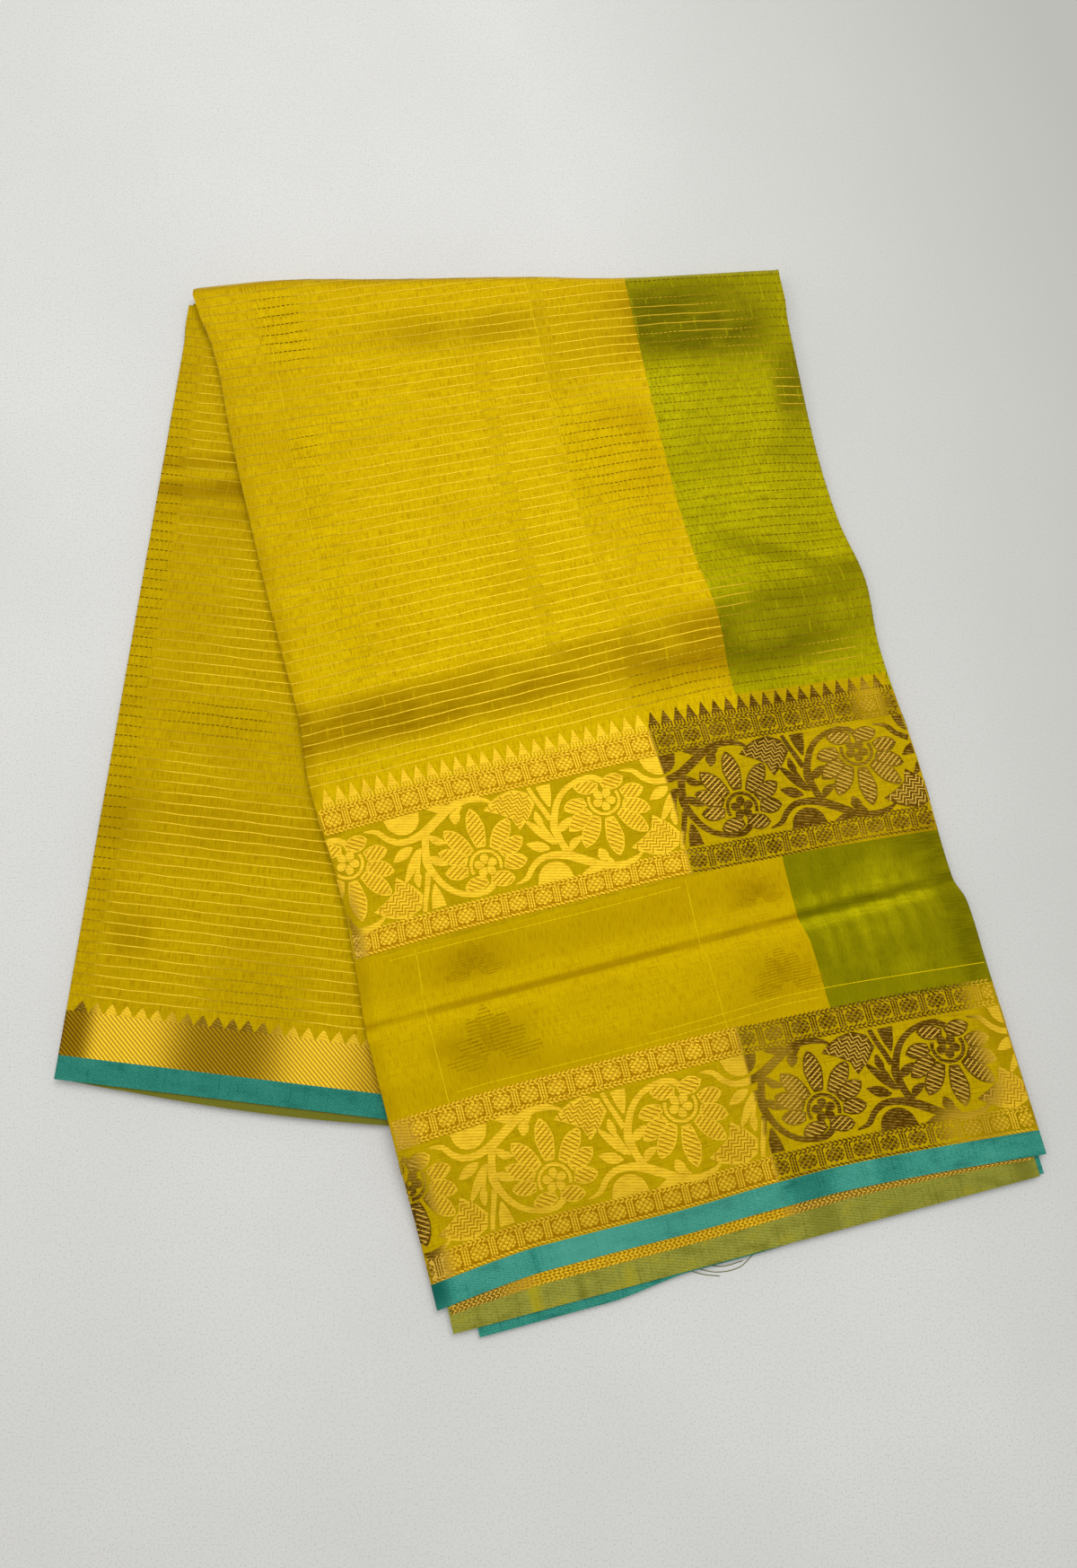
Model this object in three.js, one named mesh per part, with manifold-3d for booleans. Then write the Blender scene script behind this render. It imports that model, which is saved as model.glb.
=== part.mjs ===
import * as THREE from 'three';
import Module from 'manifold-3d';
import { mergeVertices } from 'three/addons/utils/BufferGeometryUtils.js';

// A saree folded lengthwise into a strip, folded once across the strip, and laid down with
// its two halves fanned apart. Millimetres, +Z up, resting on z = 0, centred on its outline.

const wasm = await Module();
wasm.setup();

// Cloth and strip
const clothLength = 5512;
const lengthwiseLayers = 16;
const stripWidth = clothLength / lengthwiseLayers;
const halfHeight = 7;
const wall = 1;
const seam = 0.3;

// Layout: both halves hang from the left end of the top fold, at the drawing's own origin
const foldSlope = THREE.MathUtils.degToRad(2);
const frontTurn = THREE.MathUtils.degToRad(14.3);
const backTurn = THREE.MathUtils.degToRad(-6.7);
const frontEdge = 614.5;
const frontInset = 5.6;
const backEdge = 480;

// Woven zones, as distances from the hem of each half
const selvedgeWidth = 13.3;
const frontLowerBorderTop = 97.3;
const frontPlainBandTop = 187.3;
const frontUpperBorderTop = 273.3;
const backBorderTop = 38.3;

// Woven changes across the strip, as distances from its left edge
const zariChange = 197.5;
const colourChange = 252;

// Lower layers that show below the hems
const borderSteps = 5;
const tuck = selvedgeWidth + (2 * (frontLowerBorderTop - selvedgeWidth)) / borderSteps;
const secondHem = { left: 5.8, right: 7, reach: 19.5 };
const thirdHem = { left: 19, right: 4, reach: 25, shortReach: 20.5, stepFrom: 90, stepTo: 140 };
const lowerLayer = { left: 38, right: 130, reach: 5, tuck: 30 };

// Where the front half leaves the back half and comes down to the table
const bridge = 10;
const fall = 50;

// How far below the top fold the front half is held up by it, and where that ends
const heldByFold = { from: 20, to: 80 };

// Distances below the top fold over which the long edges open flat and the soft troughs fade
const edgesOpen = { from: 45, to: 15 };
const leastTurn = 1e-4;
const troughsFade = { from: 37, to: 12 };
const troughEnd = 25;

// The woven rows of the front half drop towards both edges by the hem, and to the right above it
const rightDrop = { from: 225, most: 9, power: 1.3 };
const leftDrop = { from: 60, most: 5.5, power: 1.3, fadesBy: 190 };

// Derived heights and radii
const foldRadius = (2 * halfHeight + seam) / 2;
const layerStep = wall + seam;
const topMiddle = halfHeight - wall / 2;
const turnRadius = layerStep / 2;
const outerTurn = turnRadius + wall / 2;
const turnLength = Math.PI * turnRadius;
const hiddenTop = halfHeight - wall - seam;
const hemHiddenTop = hiddenTop - 2 * layerStep;
const backHemTop = hiddenTop - layerStep;
const foldEndInset = 2.5;
const coreClearance = 0.05;
const coreOverlap = 2;
const turnSteps = 4;
const foldSteps = 6;

// How the long edges of the front half wander, by distance from the hem
const frontEdges = [
  { along: 0, left: 1, right: 2.5 },
  { along: 100, left: -1, right: 2.2 },
  { along: 136, left: -2, right: 2 },
  { along: 150, left: -2, right: -2 },
  { along: 220, left: 1.5, right: -1 },
  { along: 290, left: -2.5, right: -3 },
  { along: 333, left: 0, right: 1 },
  { along: 372, left: -1, right: -4 },
  { along: 424, left: -2, right: -4.5 },
  { along: 511, left: -2, right: 1 },
  { along: 560, left: -0.5, right: 3.7 },
  { along: 614, left: -5, right: 4 },
];

// How the top fold bows outwards, by distance from its left end
const foldBow = [
  { along: 0, out: 0 },
  { along: 57, out: 4 },
  { along: 123, out: 2.3 },
  { along: 206, out: 0.8 },
  { along: 265, out: -2 },
  { along: 355, out: 0 },
];

// Largest folds of the front half: soft troughs across the strip
const frontTroughs = [
  { along: 320, tilt: 0.02, depth: 0.9, width: 17, from: 0, to: 320 },
  { along: 151, tilt: -0.01, depth: 0.5, width: 8, from: 0, to: 344 },
  { along: 352, tilt: 0.1, depth: 0.6, width: 9, from: 235, to: 344 },
  { along: 395, tilt: -0.25, depth: 0.6, width: 11, from: 215, to: 344 },
  { along: 498, tilt: -0.12, depth: 0.8, width: 22, from: 60, to: 344 },
  { along: 560, tilt: -0.1, depth: 0.5, width: 14, from: 20, to: 180 },
];

// Largest folds of the back half
const backTroughs = [
  { along: 352, tilt: 0.12, depth: 0.9, width: 10, from: 0, to: 110 },
  { along: 372, tilt: 0.2, depth: 0.5, width: 7, from: 10, to: 110 },
  { along: 95, tilt: 0, depth: 0.4, width: 18, from: 20, to: 160 },
];

// The layered side of the hidden stack, from its top edge down
const lobeRows = [
  { inset: 1.6, up: 4.5 },
  { inset: 0.5, up: 4.2 },
  { inset: 0, up: 3.35 },
  { inset: 0.5, up: 2.5 },
  { inset: 1.2, up: 2.25 },
  { inset: 0.5, up: 2 },
  { inset: 0, up: 1.1 },
  { inset: 0.6, up: 0 },
];
const lobeTopInset = 1.6;

// The stepped hem ends of the hidden stacks, lowest layer first
const frontHemSteps = [
  { along: -18, up: 1 },
  { along: -14.8, up: 1 },
  { along: -14.6, up: 2 },
  { along: -11.4, up: 2 },
  { along: -11.2, up: hemHiddenTop },
];
const backHemSteps = [
  { along: 1, up: 1.5 },
  { along: 1.2, up: 2.9 },
  { along: 3.2, up: 2.9 },
  { along: 3.4, up: backHemTop },
];

const colours = {
  yellow: { color: 0xcfae12, roughness: 0.55, metalness: 0.05 },
  green: { color: 0x8f9e10, roughness: 0.55, metalness: 0.05 },
  gold: { color: 0xd8a83c, roughness: 0.4, metalness: 0.5 },
  brown: { color: 0x7a5c14, roughness: 0.5, metalness: 0.4 },
  teal: { color: 0x23938a, roughness: 0.6, metalness: 0 },
  olive: { color: 0x969a3c, roughness: 0.65, metalness: 0 },
  hidden: { color: 0xa88f18, roughness: 0.7, metalness: 0 },
};

const clamp01 = (value) => Math.min(1, Math.max(0, value));

function ease(value) {
  const t = clamp01(value);
  return t * t * (3 - 2 * t);
}

// From 0 at range.from to 1 at range.to
function easeBetween(value, range) {
  return ease((value - range.from) / (range.to - range.from));
}

function spread(from, to, steps) {
  return Array.from({ length: steps + 1 }, (_, i) => from + ((to - from) * i) / steps);
}

// Value of one named column of a table at a distance along it, through a smooth curve
function readTable(rows, along, column) {
  if (along <= rows[0].along) return rows[0][column];
  const last = rows.length - 1;
  if (along >= rows[last].along) return rows[last][column];
  const next = rows.findIndex((row) => row.along > along);
  const a = rows[next - 1];
  const b = rows[next];
  const before = rows[Math.max(0, next - 2)];
  const after = rows[Math.min(last, next + 1)];
  const span = b.along - a.along;
  const slopeA = (b[column] - before[column]) / (b.along - before.along);
  const slopeB = (after[column] - a[column]) / (after.along - a.along);
  const t = (along - a.along) / span;
  const t2 = t * t;
  const t3 = t2 * t;
  return (2 * t3 - 3 * t2 + 1) * a[column] + (t3 - 2 * t2 + t) * slopeA * span
    + (3 * t2 - 2 * t3) * b[column] + (t3 - t2) * slopeB * span;
}

function troughDepth(rows, x, y) {
  let depth = 0;
  for (const row of rows) {
    const middle = row.along + row.tilt * (x - (row.from + row.to) / 2);
    const across = (y - middle) / row.width;
    const ends = ease((x - row.from) / troughEnd) * ease((row.to - x) / troughEnd);
    depth += row.depth * Math.exp(-across * across) * ends;
  }
  return depth;
}

// A half of the fold: a strip turned about the fold's left end
function makeStrip(turn, inset, length) {
  const cos = Math.cos(turn);
  const sin = Math.sin(turn);
  const origin = new THREE.Vector2(inset * cos + length * sin, inset * sin - length * cos);
  return {
    toTable: (x, y) => new THREE.Vector2(origin.x + x * cos - y * sin, origin.y + x * sin + y * cos),
    toStrip: (p) => new THREE.Vector2((p.x - origin.x) * cos + (p.y - origin.y) * sin,
      (p.y - origin.y) * cos - (p.x - origin.x) * sin),
    slant: Math.cos(turn - foldSlope),
  };
}

const front = makeStrip(frontTurn, frontInset, frontEdge);
const back = makeStrip(backTurn, 0, backEdge);
const foldOut = new THREE.Vector2(-Math.sin(foldSlope), Math.cos(foldSlope));
const foldAlong = new THREE.Vector2(Math.cos(foldSlope), Math.sin(foldSlope));

// How far a point of the table lies below the outer line of the top fold
function belowFold(p) {
  return readTable(foldBow, p.dot(foldAlong), 'out') - p.dot(foldOut);
}

// Distance from the hem at which a column of a strip is the given depth below the fold
function reachFold(half, u, depth) {
  let y = backEdge;
  for (let i = 0; i < 8; i += 1) {
    y += (belowFold(half.strip.toTable(half.placeX(u, y), y)) - depth) / half.strip.slant;
  }
  return y;
}

// Height of what the front half lies on: the back half, then a soft fall to the table
function supportHeight(p) {
  const onBack = back.toStrip(p);
  const past = Math.hypot(Math.max(0, onBack.x - stripWidth, -onBack.x), Math.max(0, -onBack.y));
  const cover = 1 - ease((past - bridge) / fall);
  const byFold = 1 - easeBetween(belowFold(p), heldByFold);
  return Math.max(cover, byFold) * (halfHeight + seam);
}

function frontX(u, y) {
  const left = readTable(frontEdges, y, 'left');
  const right = readTable(frontEdges, y, 'right');
  return left + (u / stripWidth) * (stripWidth + right - left);
}

function frontDrop(u, y) {
  const rightPart = clamp01((u - rightDrop.from) / (stripWidth - rightDrop.from)) ** rightDrop.power;
  const leftPart = clamp01(1 - u / leftDrop.from) ** leftDrop.power * clamp01(1 - y / leftDrop.fadesBy);
  const belowHem = clamp01(1 + y / secondHem.reach);
  return -(rightDrop.most * rightPart + leftDrop.most * leftPart) * belowHem;
}

const frontHalf = {
  strip: front,
  placeX: frontX,
  drop: frontDrop,
  support: supportHeight,
  sink: (x, y) => troughDepth(frontTroughs, x, y),
  fieldBase: frontUpperBorderTop,
};

const backHalf = {
  strip: back,
  placeX: (u) => u,
  drop: () => 0,
  support: () => 0,
  sink: (x, y) => troughDepth(backTroughs, x, y),
  fieldBase: backBorderTop,
};

// Rows of a half: plain distances from the hem, fractions of the field, or angles round the fold
const plainRow = (y) => ({ y });
const fieldRow = (part, stop = foldRadius) => ({ part, stop });
const foldRow = (angle) => ({ angle });

function rowY(half, u, row) {
  if (row.y !== undefined) return row.y + half.drop(u, row.y);
  const start = half.fieldBase + half.drop(u, half.fieldBase);
  const end = reachFold(half, u, row.stop ?? foldRadius);
  return start + (end - start) * (row.part ?? 1);
}

// A point of a layer: u across the strip, turn = distance round its folded edge, and the
// height of the layer's middle above the support
function layerPoint(half, column, row, middle, offset) {
  const { u, turn = 0 } = column;
  const y = rowY(half, u, row);
  const x = half.placeX(u, y);
  const p = half.strip.toTable(x, y);
  const depth = belowFold(p);
  const closed = Math.max(leastTurn, Math.PI * (1 - easeBetween(depth, edgesOpen)));
  const angle = closed * (Math.abs(turn) / turnLength);
  const bend = turnLength / closed;
  const outwards = Math.sign(turn) * (Math.sin(angle) * (bend + offset));
  const down = (1 - Math.cos(angle)) * bend;
  if (row.angle !== undefined) {
    const reach = foldRadius - wall / 2 + offset;
    const flat = half.strip.toTable(x + turn, y);
    flat.addScaledVector(foldOut, reach * Math.sin(row.angle));
    return new THREE.Vector3(flat.x, flat.y, foldRadius + reach * Math.cos(row.angle));
  }
  const q = half.strip.toTable(x + outwards, y);
  const sink = half.sink(x, y) * (1 - easeBetween(depth, troughsFade));
  const z = half.support(p) + middle - sink - down + offset * Math.cos(angle);
  return new THREE.Vector3(q.x, q.y, z);
}

function closedMesh(points, faces) {
  let volume = 0;
  for (const [a, b, c] of faces) {
    volume += points[a].dot(new THREE.Vector3().crossVectors(points[b], points[c])) / 6;
  }
  const outward = volume > 0 ? faces : faces.map(([a, b, c]) => [a, c, b]);
  const geometry = new THREE.BufferGeometry();
  const positions = points.flatMap((p) => [p.x, p.y, p.z]);
  geometry.setAttribute('position', new THREE.Float32BufferAttribute(positions, 3));
  geometry.setIndex(outward.flat());
  return geometry;
}

// A wall of cloth between an outer and an inner grid of the same columns and rows
function wallGeometry(outer, inner) {
  const rows = outer.length;
  const columns = outer[0].length;
  const points = [...outer.flat(), ...inner.flat()];
  const top = (i, j) => i * columns + j;
  const under = (i, j) => rows * columns + i * columns + j;
  const faces = [];
  const quad = (a, b, c, d) => faces.push([a, b, c], [a, c, d]);
  for (let i = 0; i < rows - 1; i += 1) {
    for (let j = 0; j < columns - 1; j += 1) {
      quad(top(i, j), top(i, j + 1), top(i + 1, j + 1), top(i + 1, j));
      faces.push([under(i, j), under(i + 1, j + 1), under(i, j + 1)]);
      faces.push([under(i, j), under(i + 1, j), under(i + 1, j + 1)]);
    }
  }
  for (let i = 0; i < rows - 1; i += 1) {
    quad(top(i, 0), top(i + 1, 0), under(i + 1, 0), under(i, 0));
    quad(top(i + 1, columns - 1), top(i, columns - 1), under(i, columns - 1), under(i + 1, columns - 1));
  }
  for (let j = 0; j < columns - 1; j += 1) {
    quad(top(0, j + 1), top(0, j), under(0, j), under(0, j + 1));
    quad(top(rows - 1, j), top(rows - 1, j + 1), under(rows - 1, j + 1), under(rows - 1, j));
  }
  return closedMesh(points, faces);
}

function sheetGeometry(half, columns, rows, middle) {
  const grid = (offset) => rows.map((row) => columns.map((c) => layerPoint(half, c, row, middle, offset)));
  return wallGeometry(grid(wall / 2), grid(-wall / 2));
}

// End face of a stack: a patch at each layered side, and plain quads between them
function capFaces(section, topCount, lobeCount) {
  const size = section.length;
  const bottomOf = (i) => size - lobeCount - i;
  const leftPatch = [0, 1, bottomOf(1), ...spread(bottomOf(0), size - 1, lobeCount - 1)];
  const rightLobes = spread(topCount, topCount + lobeCount - 1, lobeCount - 1);
  const rightPatch = [topCount - 2, topCount - 1, ...rightLobes, bottomOf(topCount - 2)];
  const faces = [leftPatch, rightPatch].flatMap((patch) => {
    const corners = patch.map((index) => section[index]);
    return THREE.ShapeUtils.triangulateShape(corners, []).map((face) => face.map((k) => patch[k]));
  });
  for (let i = 1; i < topCount - 2; i += 1) {
    faces.push([i, bottomOf(i), bottomOf(i + 1)], [i, bottomOf(i + 1), i + 1]);
  }
  return faces;
}

// Stations across the front half, with one on each woven change
const frontStations = [
  ...spread(0, zariChange, 9),
  ...spread(zariChange, colourChange, 3).slice(1),
  ...spread(colourChange, stripWidth, 5).slice(1),
];

// A stack lofted through rings: a top and a bottom row of points joined by layered sides
function stackGeometry(half, stations, rings) {
  const points = [];
  const outline = [];
  for (const ring of rings) {
    const scale = ring.up / hiddenTop;
    const section = [];
    const put = (u, inset, up, isTop) => {
      const y = rowY(half, u, ring.row);
      const edgeX = half.placeX(u, y);
      const x = edgeX + inset;
      const p = half.strip.toTable(x, y);
      const sink = isTop ? half.sink(x, y) * (1 - easeBetween(belowFold(p), troughsFade)) : 0;
      const z = half.support(half.strip.toTable(edgeX, y)) + up - sink;
      points.push(new THREE.Vector3(p.x, p.y, z));
      section.push(new THREE.Vector2(x, up));
    };
    put(0, lobeTopInset, ring.up, true);
    stations.slice(1, -1).forEach((u) => put(u, 0, ring.up, true));
    put(stripWidth, -lobeTopInset, ring.up, true);
    lobeRows.forEach((lobe) => put(stripWidth, -lobe.inset, lobe.up * scale, false));
    stations.slice(1, -1).reverse().forEach((u) => put(u, 0, 0, false));
    [...lobeRows].reverse().forEach((lobe) => put(0, lobe.inset, lobe.up * scale, false));
    outline.push(section);
  }
  const size = outline[0].length;
  const faces = [];
  for (let i = 0; i < rings.length - 1; i += 1) {
    for (let j = 0; j < size; j += 1) {
      const k = (j + 1) % size;
      const a = i * size + j;
      const b = i * size + k;
      const c = (i + 1) * size + k;
      const d = (i + 1) * size + j;
      faces.push([a, b, c], [a, c, d]);
    }
  }
  const last = (rings.length - 1) * size;
  for (const [a, b, c] of capFaces(outline[0], stations.length, lobeRows.length)) {
    faces.push([a, b, c], [last + a, last + c, last + b]);
  }
  return closedMesh(points, faces);
}

// The bend that joins the hidden layers of both halves inside the top fold
function foldCoreGeometry() {
  const radius = foldRadius - wall - seam - coreClearance;
  const shape = new THREE.Shape();
  shape.moveTo(-coreOverlap, foldRadius - radius);
  shape.lineTo(0, foldRadius - radius);
  shape.absarc(0, foldRadius, radius, -Math.PI / 2, Math.PI / 2, false);
  shape.lineTo(-coreOverlap, foldRadius + radius);
  const section = shape.getPoints(foldSteps);
  const stations = [foldEndInset, ...frontStations.slice(1, -1), stripWidth - foldEndInset];
  const points = stations.flatMap((u) => {
    const y = reachFold(frontHalf, u, foldRadius);
    const axis = front.toTable(frontX(u, y), y);
    return section.map((s) => new THREE.Vector3(axis.x + s.x * foldOut.x, axis.y + s.x * foldOut.y, s.y));
  });
  const size = section.length;
  const faces = [];
  for (let i = 0; i < stations.length - 1; i += 1) {
    for (let j = 0; j < size; j += 1) {
      const k = (j + 1) % size;
      faces.push([i * size + j, i * size + k, (i + 1) * size + k]);
      faces.push([i * size + j, (i + 1) * size + k, (i + 1) * size + j]);
    }
  }
  const cap = THREE.ShapeUtils.triangulateShape(section, []);
  const last = (stations.length - 1) * size;
  cap.forEach(([a, b, c]) => faces.push([a, c, b], [last + a, last + b, last + c]));
  return closedMesh(points, faces);
}

function toManifold(geometry) {
  const merged = mergeVertices(geometry, 1e-5);
  return new wasm.Manifold(new wasm.Mesh({
    numProp: 3,
    vertProperties: new Float32Array(merged.attributes.position.array),
    triVerts: new Uint32Array(merged.index.array),
  }));
}

function fromManifold(solid) {
  const mesh = solid.getMesh();
  const geometry = new THREE.BufferGeometry();
  geometry.setAttribute('position', new THREE.BufferAttribute(new Float32Array(mesh.vertProperties), 3));
  geometry.setIndex(new THREE.BufferAttribute(new Uint32Array(mesh.triVerts), 1));
  return geometry;
}

const group = new THREE.Group();

function addPiece(name, geometry, look) {
  const material = new THREE.MeshStandardMaterial(look);
  geometry.computeVertexNormals();
  const mesh = new THREE.Mesh(geometry, material);
  mesh.name = name;
  group.add(mesh);
}

// Stations across each half
const turnStations = spread(0, turnLength, turnSteps);
const leftEdgeColumns = turnStations.slice(1).reverse().map((turn) => ({ u: outerTurn, turn: -turn }));
const rightEdgeColumns = turnStations.slice(1).map((turn) => ({ u: stripWidth - outerTurn, turn }));
const backStations = spread(0, stripWidth, 11);

function zoneColumns(stations, from, to) {
  const inside = stations.filter((u) => u > from + 1 && u < to - 1).map((u) => ({ u }));
  const start = from === 0 ? [...leftEdgeColumns, { u: outerTurn }] : [{ u: from + seam / 2 }];
  const rightEdge = [{ u: stripWidth - outerTurn }, ...rightEdgeColumns];
  const end = to === stripWidth ? rightEdge : [{ u: to - seam / 2 }];
  return [...start, ...inside, ...end];
}

function bandRows(from, to, steps) {
  const ys = spread(from, to, steps);
  ys[0] += from > 0 ? seam / 2 : 0;
  ys[steps] -= seam / 2;
  return ys.map(plainRow);
}

const plainSteps = 6;
const fieldParts = spread(0, 1, 14);
const frontFieldRows = [
  plainRow(frontUpperBorderTop + seam / 2),
  ...fieldParts.slice(1).map((part) => fieldRow(part)),
  ...spread(0, Math.PI, foldSteps).slice(1).map(foldRow),
];

// Top layer of the front half
const frontZones = [
  { name: 'front_selvedge', look: 'teal', from: 0, to: stripWidth, rows: bandRows(0, selvedgeWidth, 1) },
  ...[
    { name: 'front_lower_border', rows: bandRows(selvedgeWidth, frontLowerBorderTop, borderSteps) },
    { name: 'front_upper_border', rows: bandRows(frontPlainBandTop, frontUpperBorderTop, borderSteps) },
  ].flatMap(({ name, rows }) => [
    { name: `${name}_gold`, look: 'gold', from: 0, to: zariChange, rows },
    { name: `${name}_brown`, look: 'brown', from: zariChange, to: stripWidth, rows },
  ]),
  ...[
    { name: 'front_plain_band', rows: bandRows(frontLowerBorderTop, frontPlainBandTop, plainSteps) },
    { name: 'front_field', rows: frontFieldRows },
  ].flatMap(({ name, rows }) => [
    { name: `${name}_yellow`, look: 'yellow', from: 0, to: colourChange, rows },
    { name: `${name}_green`, look: 'green', from: colourChange, to: stripWidth, rows },
  ]),
];
for (const zone of frontZones) {
  const columns = zoneColumns(frontStations, zone.from, zone.to);
  addPiece(zone.name, sheetGeometry(frontHalf, columns, zone.rows, topMiddle), colours[zone.look]);
}

// Lower layers of the front half, where they show below its hem
const lowerBorderYs = spread(selvedgeWidth, frontLowerBorderTop, borderSteps);
const tuckRows = [0, selvedgeWidth, lowerBorderYs[1], tuck - seam];

function hemColumns(left, right) {
  const inside = frontStations.filter((u) => u > left + 4 && u < stripWidth - right - 4);
  return [left, ...inside, stripWidth - right].map((u) => ({ u }));
}

function hemGeometry(hem, middle, reachAt) {
  const columns = hemColumns(hem.left, hem.right);
  const grid = (offset) => [-1, -0.5, ...tuckRows].map((y) => columns.map((column) => {
    const row = plainRow(y < 0 ? y * reachAt(column.u) : y);
    return layerPoint(frontHalf, column, row, middle, offset);
  }));
  return wallGeometry(grid(wall / 2), grid(-wall / 2));
}

function thirdReach(u) {
  const step = ease((u - thirdHem.stepFrom) / (thirdHem.stepTo - thirdHem.stepFrom));
  return thirdHem.reach + (thirdHem.shortReach - thirdHem.reach) * step;
}

const secondGeometry = hemGeometry(secondHem, topMiddle - layerStep, () => secondHem.reach);
const thirdGeometry = hemGeometry(thirdHem, topMiddle - 2 * layerStep, thirdReach);
addPiece('second_layer_hem', secondGeometry, colours.olive);
addPiece('third_layer_hem', thirdGeometry, colours.teal);

// Top layer of the back half
const backColumns = zoneColumns(backStations, 0, stripWidth);
const backFieldStop = foldRadius + coreOverlap + 2 * seam;
const backFieldParts = spread(0, 1, 12);
const backZones = [
  { name: 'back_selvedge', look: 'teal', rows: bandRows(0, selvedgeWidth, 1) },
  { name: 'back_border', look: 'gold', rows: bandRows(selvedgeWidth, backBorderTop, 2) },
  {
    name: 'back_field',
    look: 'yellow',
    rows: [
      plainRow(backBorderTop + seam / 2),
      ...backFieldParts.slice(1).map((part) => fieldRow(part, backFieldStop)),
    ],
  },
];
for (const zone of backZones) {
  addPiece(zone.name, sheetGeometry(backHalf, backColumns, zone.rows, topMiddle), colours[zone.look]);
}

// The layer of the back half that bulges out below its hem
function lowerLayerGeometry() {
  const columns = spread(lowerLayer.left, stripWidth - lowerLayer.right, 6).map((u) => ({ u }));
  const width = stripWidth - lowerLayer.right - lowerLayer.left;
  const bulge = (u) => lowerLayer.reach * Math.sin(Math.PI * (0.12 + (0.76 * (u - lowerLayer.left)) / width));
  const grid = (offset) => ['hem', 'middle', 'tucked'].map((line) => columns.map((column) => {
    const y = { hem: -bulge(column.u), middle: 0, tucked: lowerLayer.tuck - seam }[line];
    return layerPoint(backHalf, column, plainRow(y), topMiddle - layerStep, offset);
  }));
  return wallGeometry(grid(wall / 2), grid(-wall / 2));
}
addPiece('back_lower_layer', lowerLayerGeometry(), colours.olive);

// Hidden layers: one stack in each half, joined round the fold
const tuckStep = 0.3;
const plainRings = (ys, up) => ys.map((y) => ({ row: plainRow(y), up }));
const frontRings = [
  ...frontHemSteps.map((step) => ({ row: plainRow(step.along), up: step.up })),
  ...plainRings([0, selvedgeWidth, lowerBorderYs[1], tuck], hemHiddenTop),
  ...plainRings([tuck + tuckStep, ...lowerBorderYs.slice(3)], hiddenTop),
  ...plainRings(spread(frontLowerBorderTop, frontPlainBandTop, plainSteps).slice(1), hiddenTop),
  ...plainRings(spread(frontPlainBandTop, frontUpperBorderTop, borderSteps).slice(1), hiddenTop),
  ...fieldParts.slice(1).map((part) => ({ row: fieldRow(part), up: hiddenTop })),
];
const backHiddenStop = foldRadius + 2 * seam;
const backRings = [
  ...backHemSteps.map((step) => ({ row: plainRow(step.along), up: step.up })),
  ...plainRings([selvedgeWidth, lowerLayer.tuck], backHemTop),
  ...plainRings([lowerLayer.tuck + tuckStep, backBorderTop], hiddenTop),
  ...backFieldParts.slice(1).map((part) => ({ row: fieldRow(part, backHiddenStop), up: hiddenTop })),
];
const hiddenSolid = toManifold(stackGeometry(frontHalf, frontStations, frontRings))
  .add(toManifold(stackGeometry(backHalf, backStations, backRings)))
  .add(toManifold(foldCoreGeometry()));
addPiece('hidden_layers', fromManifold(hiddenSolid), colours.hidden);

// The part's origin is the middle of its outline, on the table
const outlineBox = new THREE.Box3().setFromObject(group);
const middleOfOutline = outlineBox.getCenter(new THREE.Vector3());
group.position.set(-middleOfOutline.x, -middleOfOutline.y, -outlineBox.min.z);
group.updateMatrixWorld(true);

export default group;
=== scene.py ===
import math

import bpy
import numpy as np
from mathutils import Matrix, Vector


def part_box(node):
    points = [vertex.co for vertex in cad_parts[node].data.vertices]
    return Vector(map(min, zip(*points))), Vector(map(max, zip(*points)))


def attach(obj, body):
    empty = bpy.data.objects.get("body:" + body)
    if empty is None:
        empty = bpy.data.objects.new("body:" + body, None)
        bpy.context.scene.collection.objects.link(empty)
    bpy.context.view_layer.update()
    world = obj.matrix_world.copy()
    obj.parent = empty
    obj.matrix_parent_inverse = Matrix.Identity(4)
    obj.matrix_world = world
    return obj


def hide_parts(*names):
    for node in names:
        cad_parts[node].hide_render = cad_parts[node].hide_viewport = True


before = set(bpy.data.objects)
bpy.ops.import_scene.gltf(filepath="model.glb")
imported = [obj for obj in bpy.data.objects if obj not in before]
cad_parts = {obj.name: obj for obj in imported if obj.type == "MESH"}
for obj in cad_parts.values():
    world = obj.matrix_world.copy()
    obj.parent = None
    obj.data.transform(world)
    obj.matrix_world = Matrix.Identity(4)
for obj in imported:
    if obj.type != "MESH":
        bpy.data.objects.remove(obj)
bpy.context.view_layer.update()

# A saree folded lengthwise into a strip, folded once across it, and laid down with its two halves
# fanned apart. Cloth sizes below are millimetres; meshes are in metres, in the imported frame.
MM = 0.001

# Strip, as in the part's source
CLOTH_LENGTH = 5512
STRIP_WIDTH = CLOTH_LENGTH / 16
HALF_HEIGHT = 7
WALL = 1
SEAM = 0.3
CLOTH = 0.35

# Layout: both halves hang from the left end of the top fold
FOLD_SLOPE = math.radians(2)
FRONT_TURN = math.radians(14.3)
BACK_TURN = math.radians(-6.7)
FRONT_EDGE = 614.5
FRONT_INSET = 5.6
BACK_EDGE = 480

# Woven zones, as distances from the hem of each half
SELVEDGE = 13.3
LOWER_BORDER_TOP = 97.3
PLAIN_BAND_TOP = 187.3
UPPER_BORDER_TOP = 273.3
BACK_BORDER_TOP = 38.3

# Woven changes across the strip, as distances from its left edge
ZARI_CHANGE = 197.5
COLOUR_CHANGE = 252

# Lower layers that show below the hems
SECOND_HEM = {"left": 5.8, "right": 7, "reach": 19.5, "tuck": 40}
THIRD_HEM = {"left": 19, "right": 4, "reach": 25, "short_reach": 20.5, "step_from": 90, "step_to": 140}
LOWER_LAYER = {"left": 38, "right": 130, "reach": 5, "tuck": 29}

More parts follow.
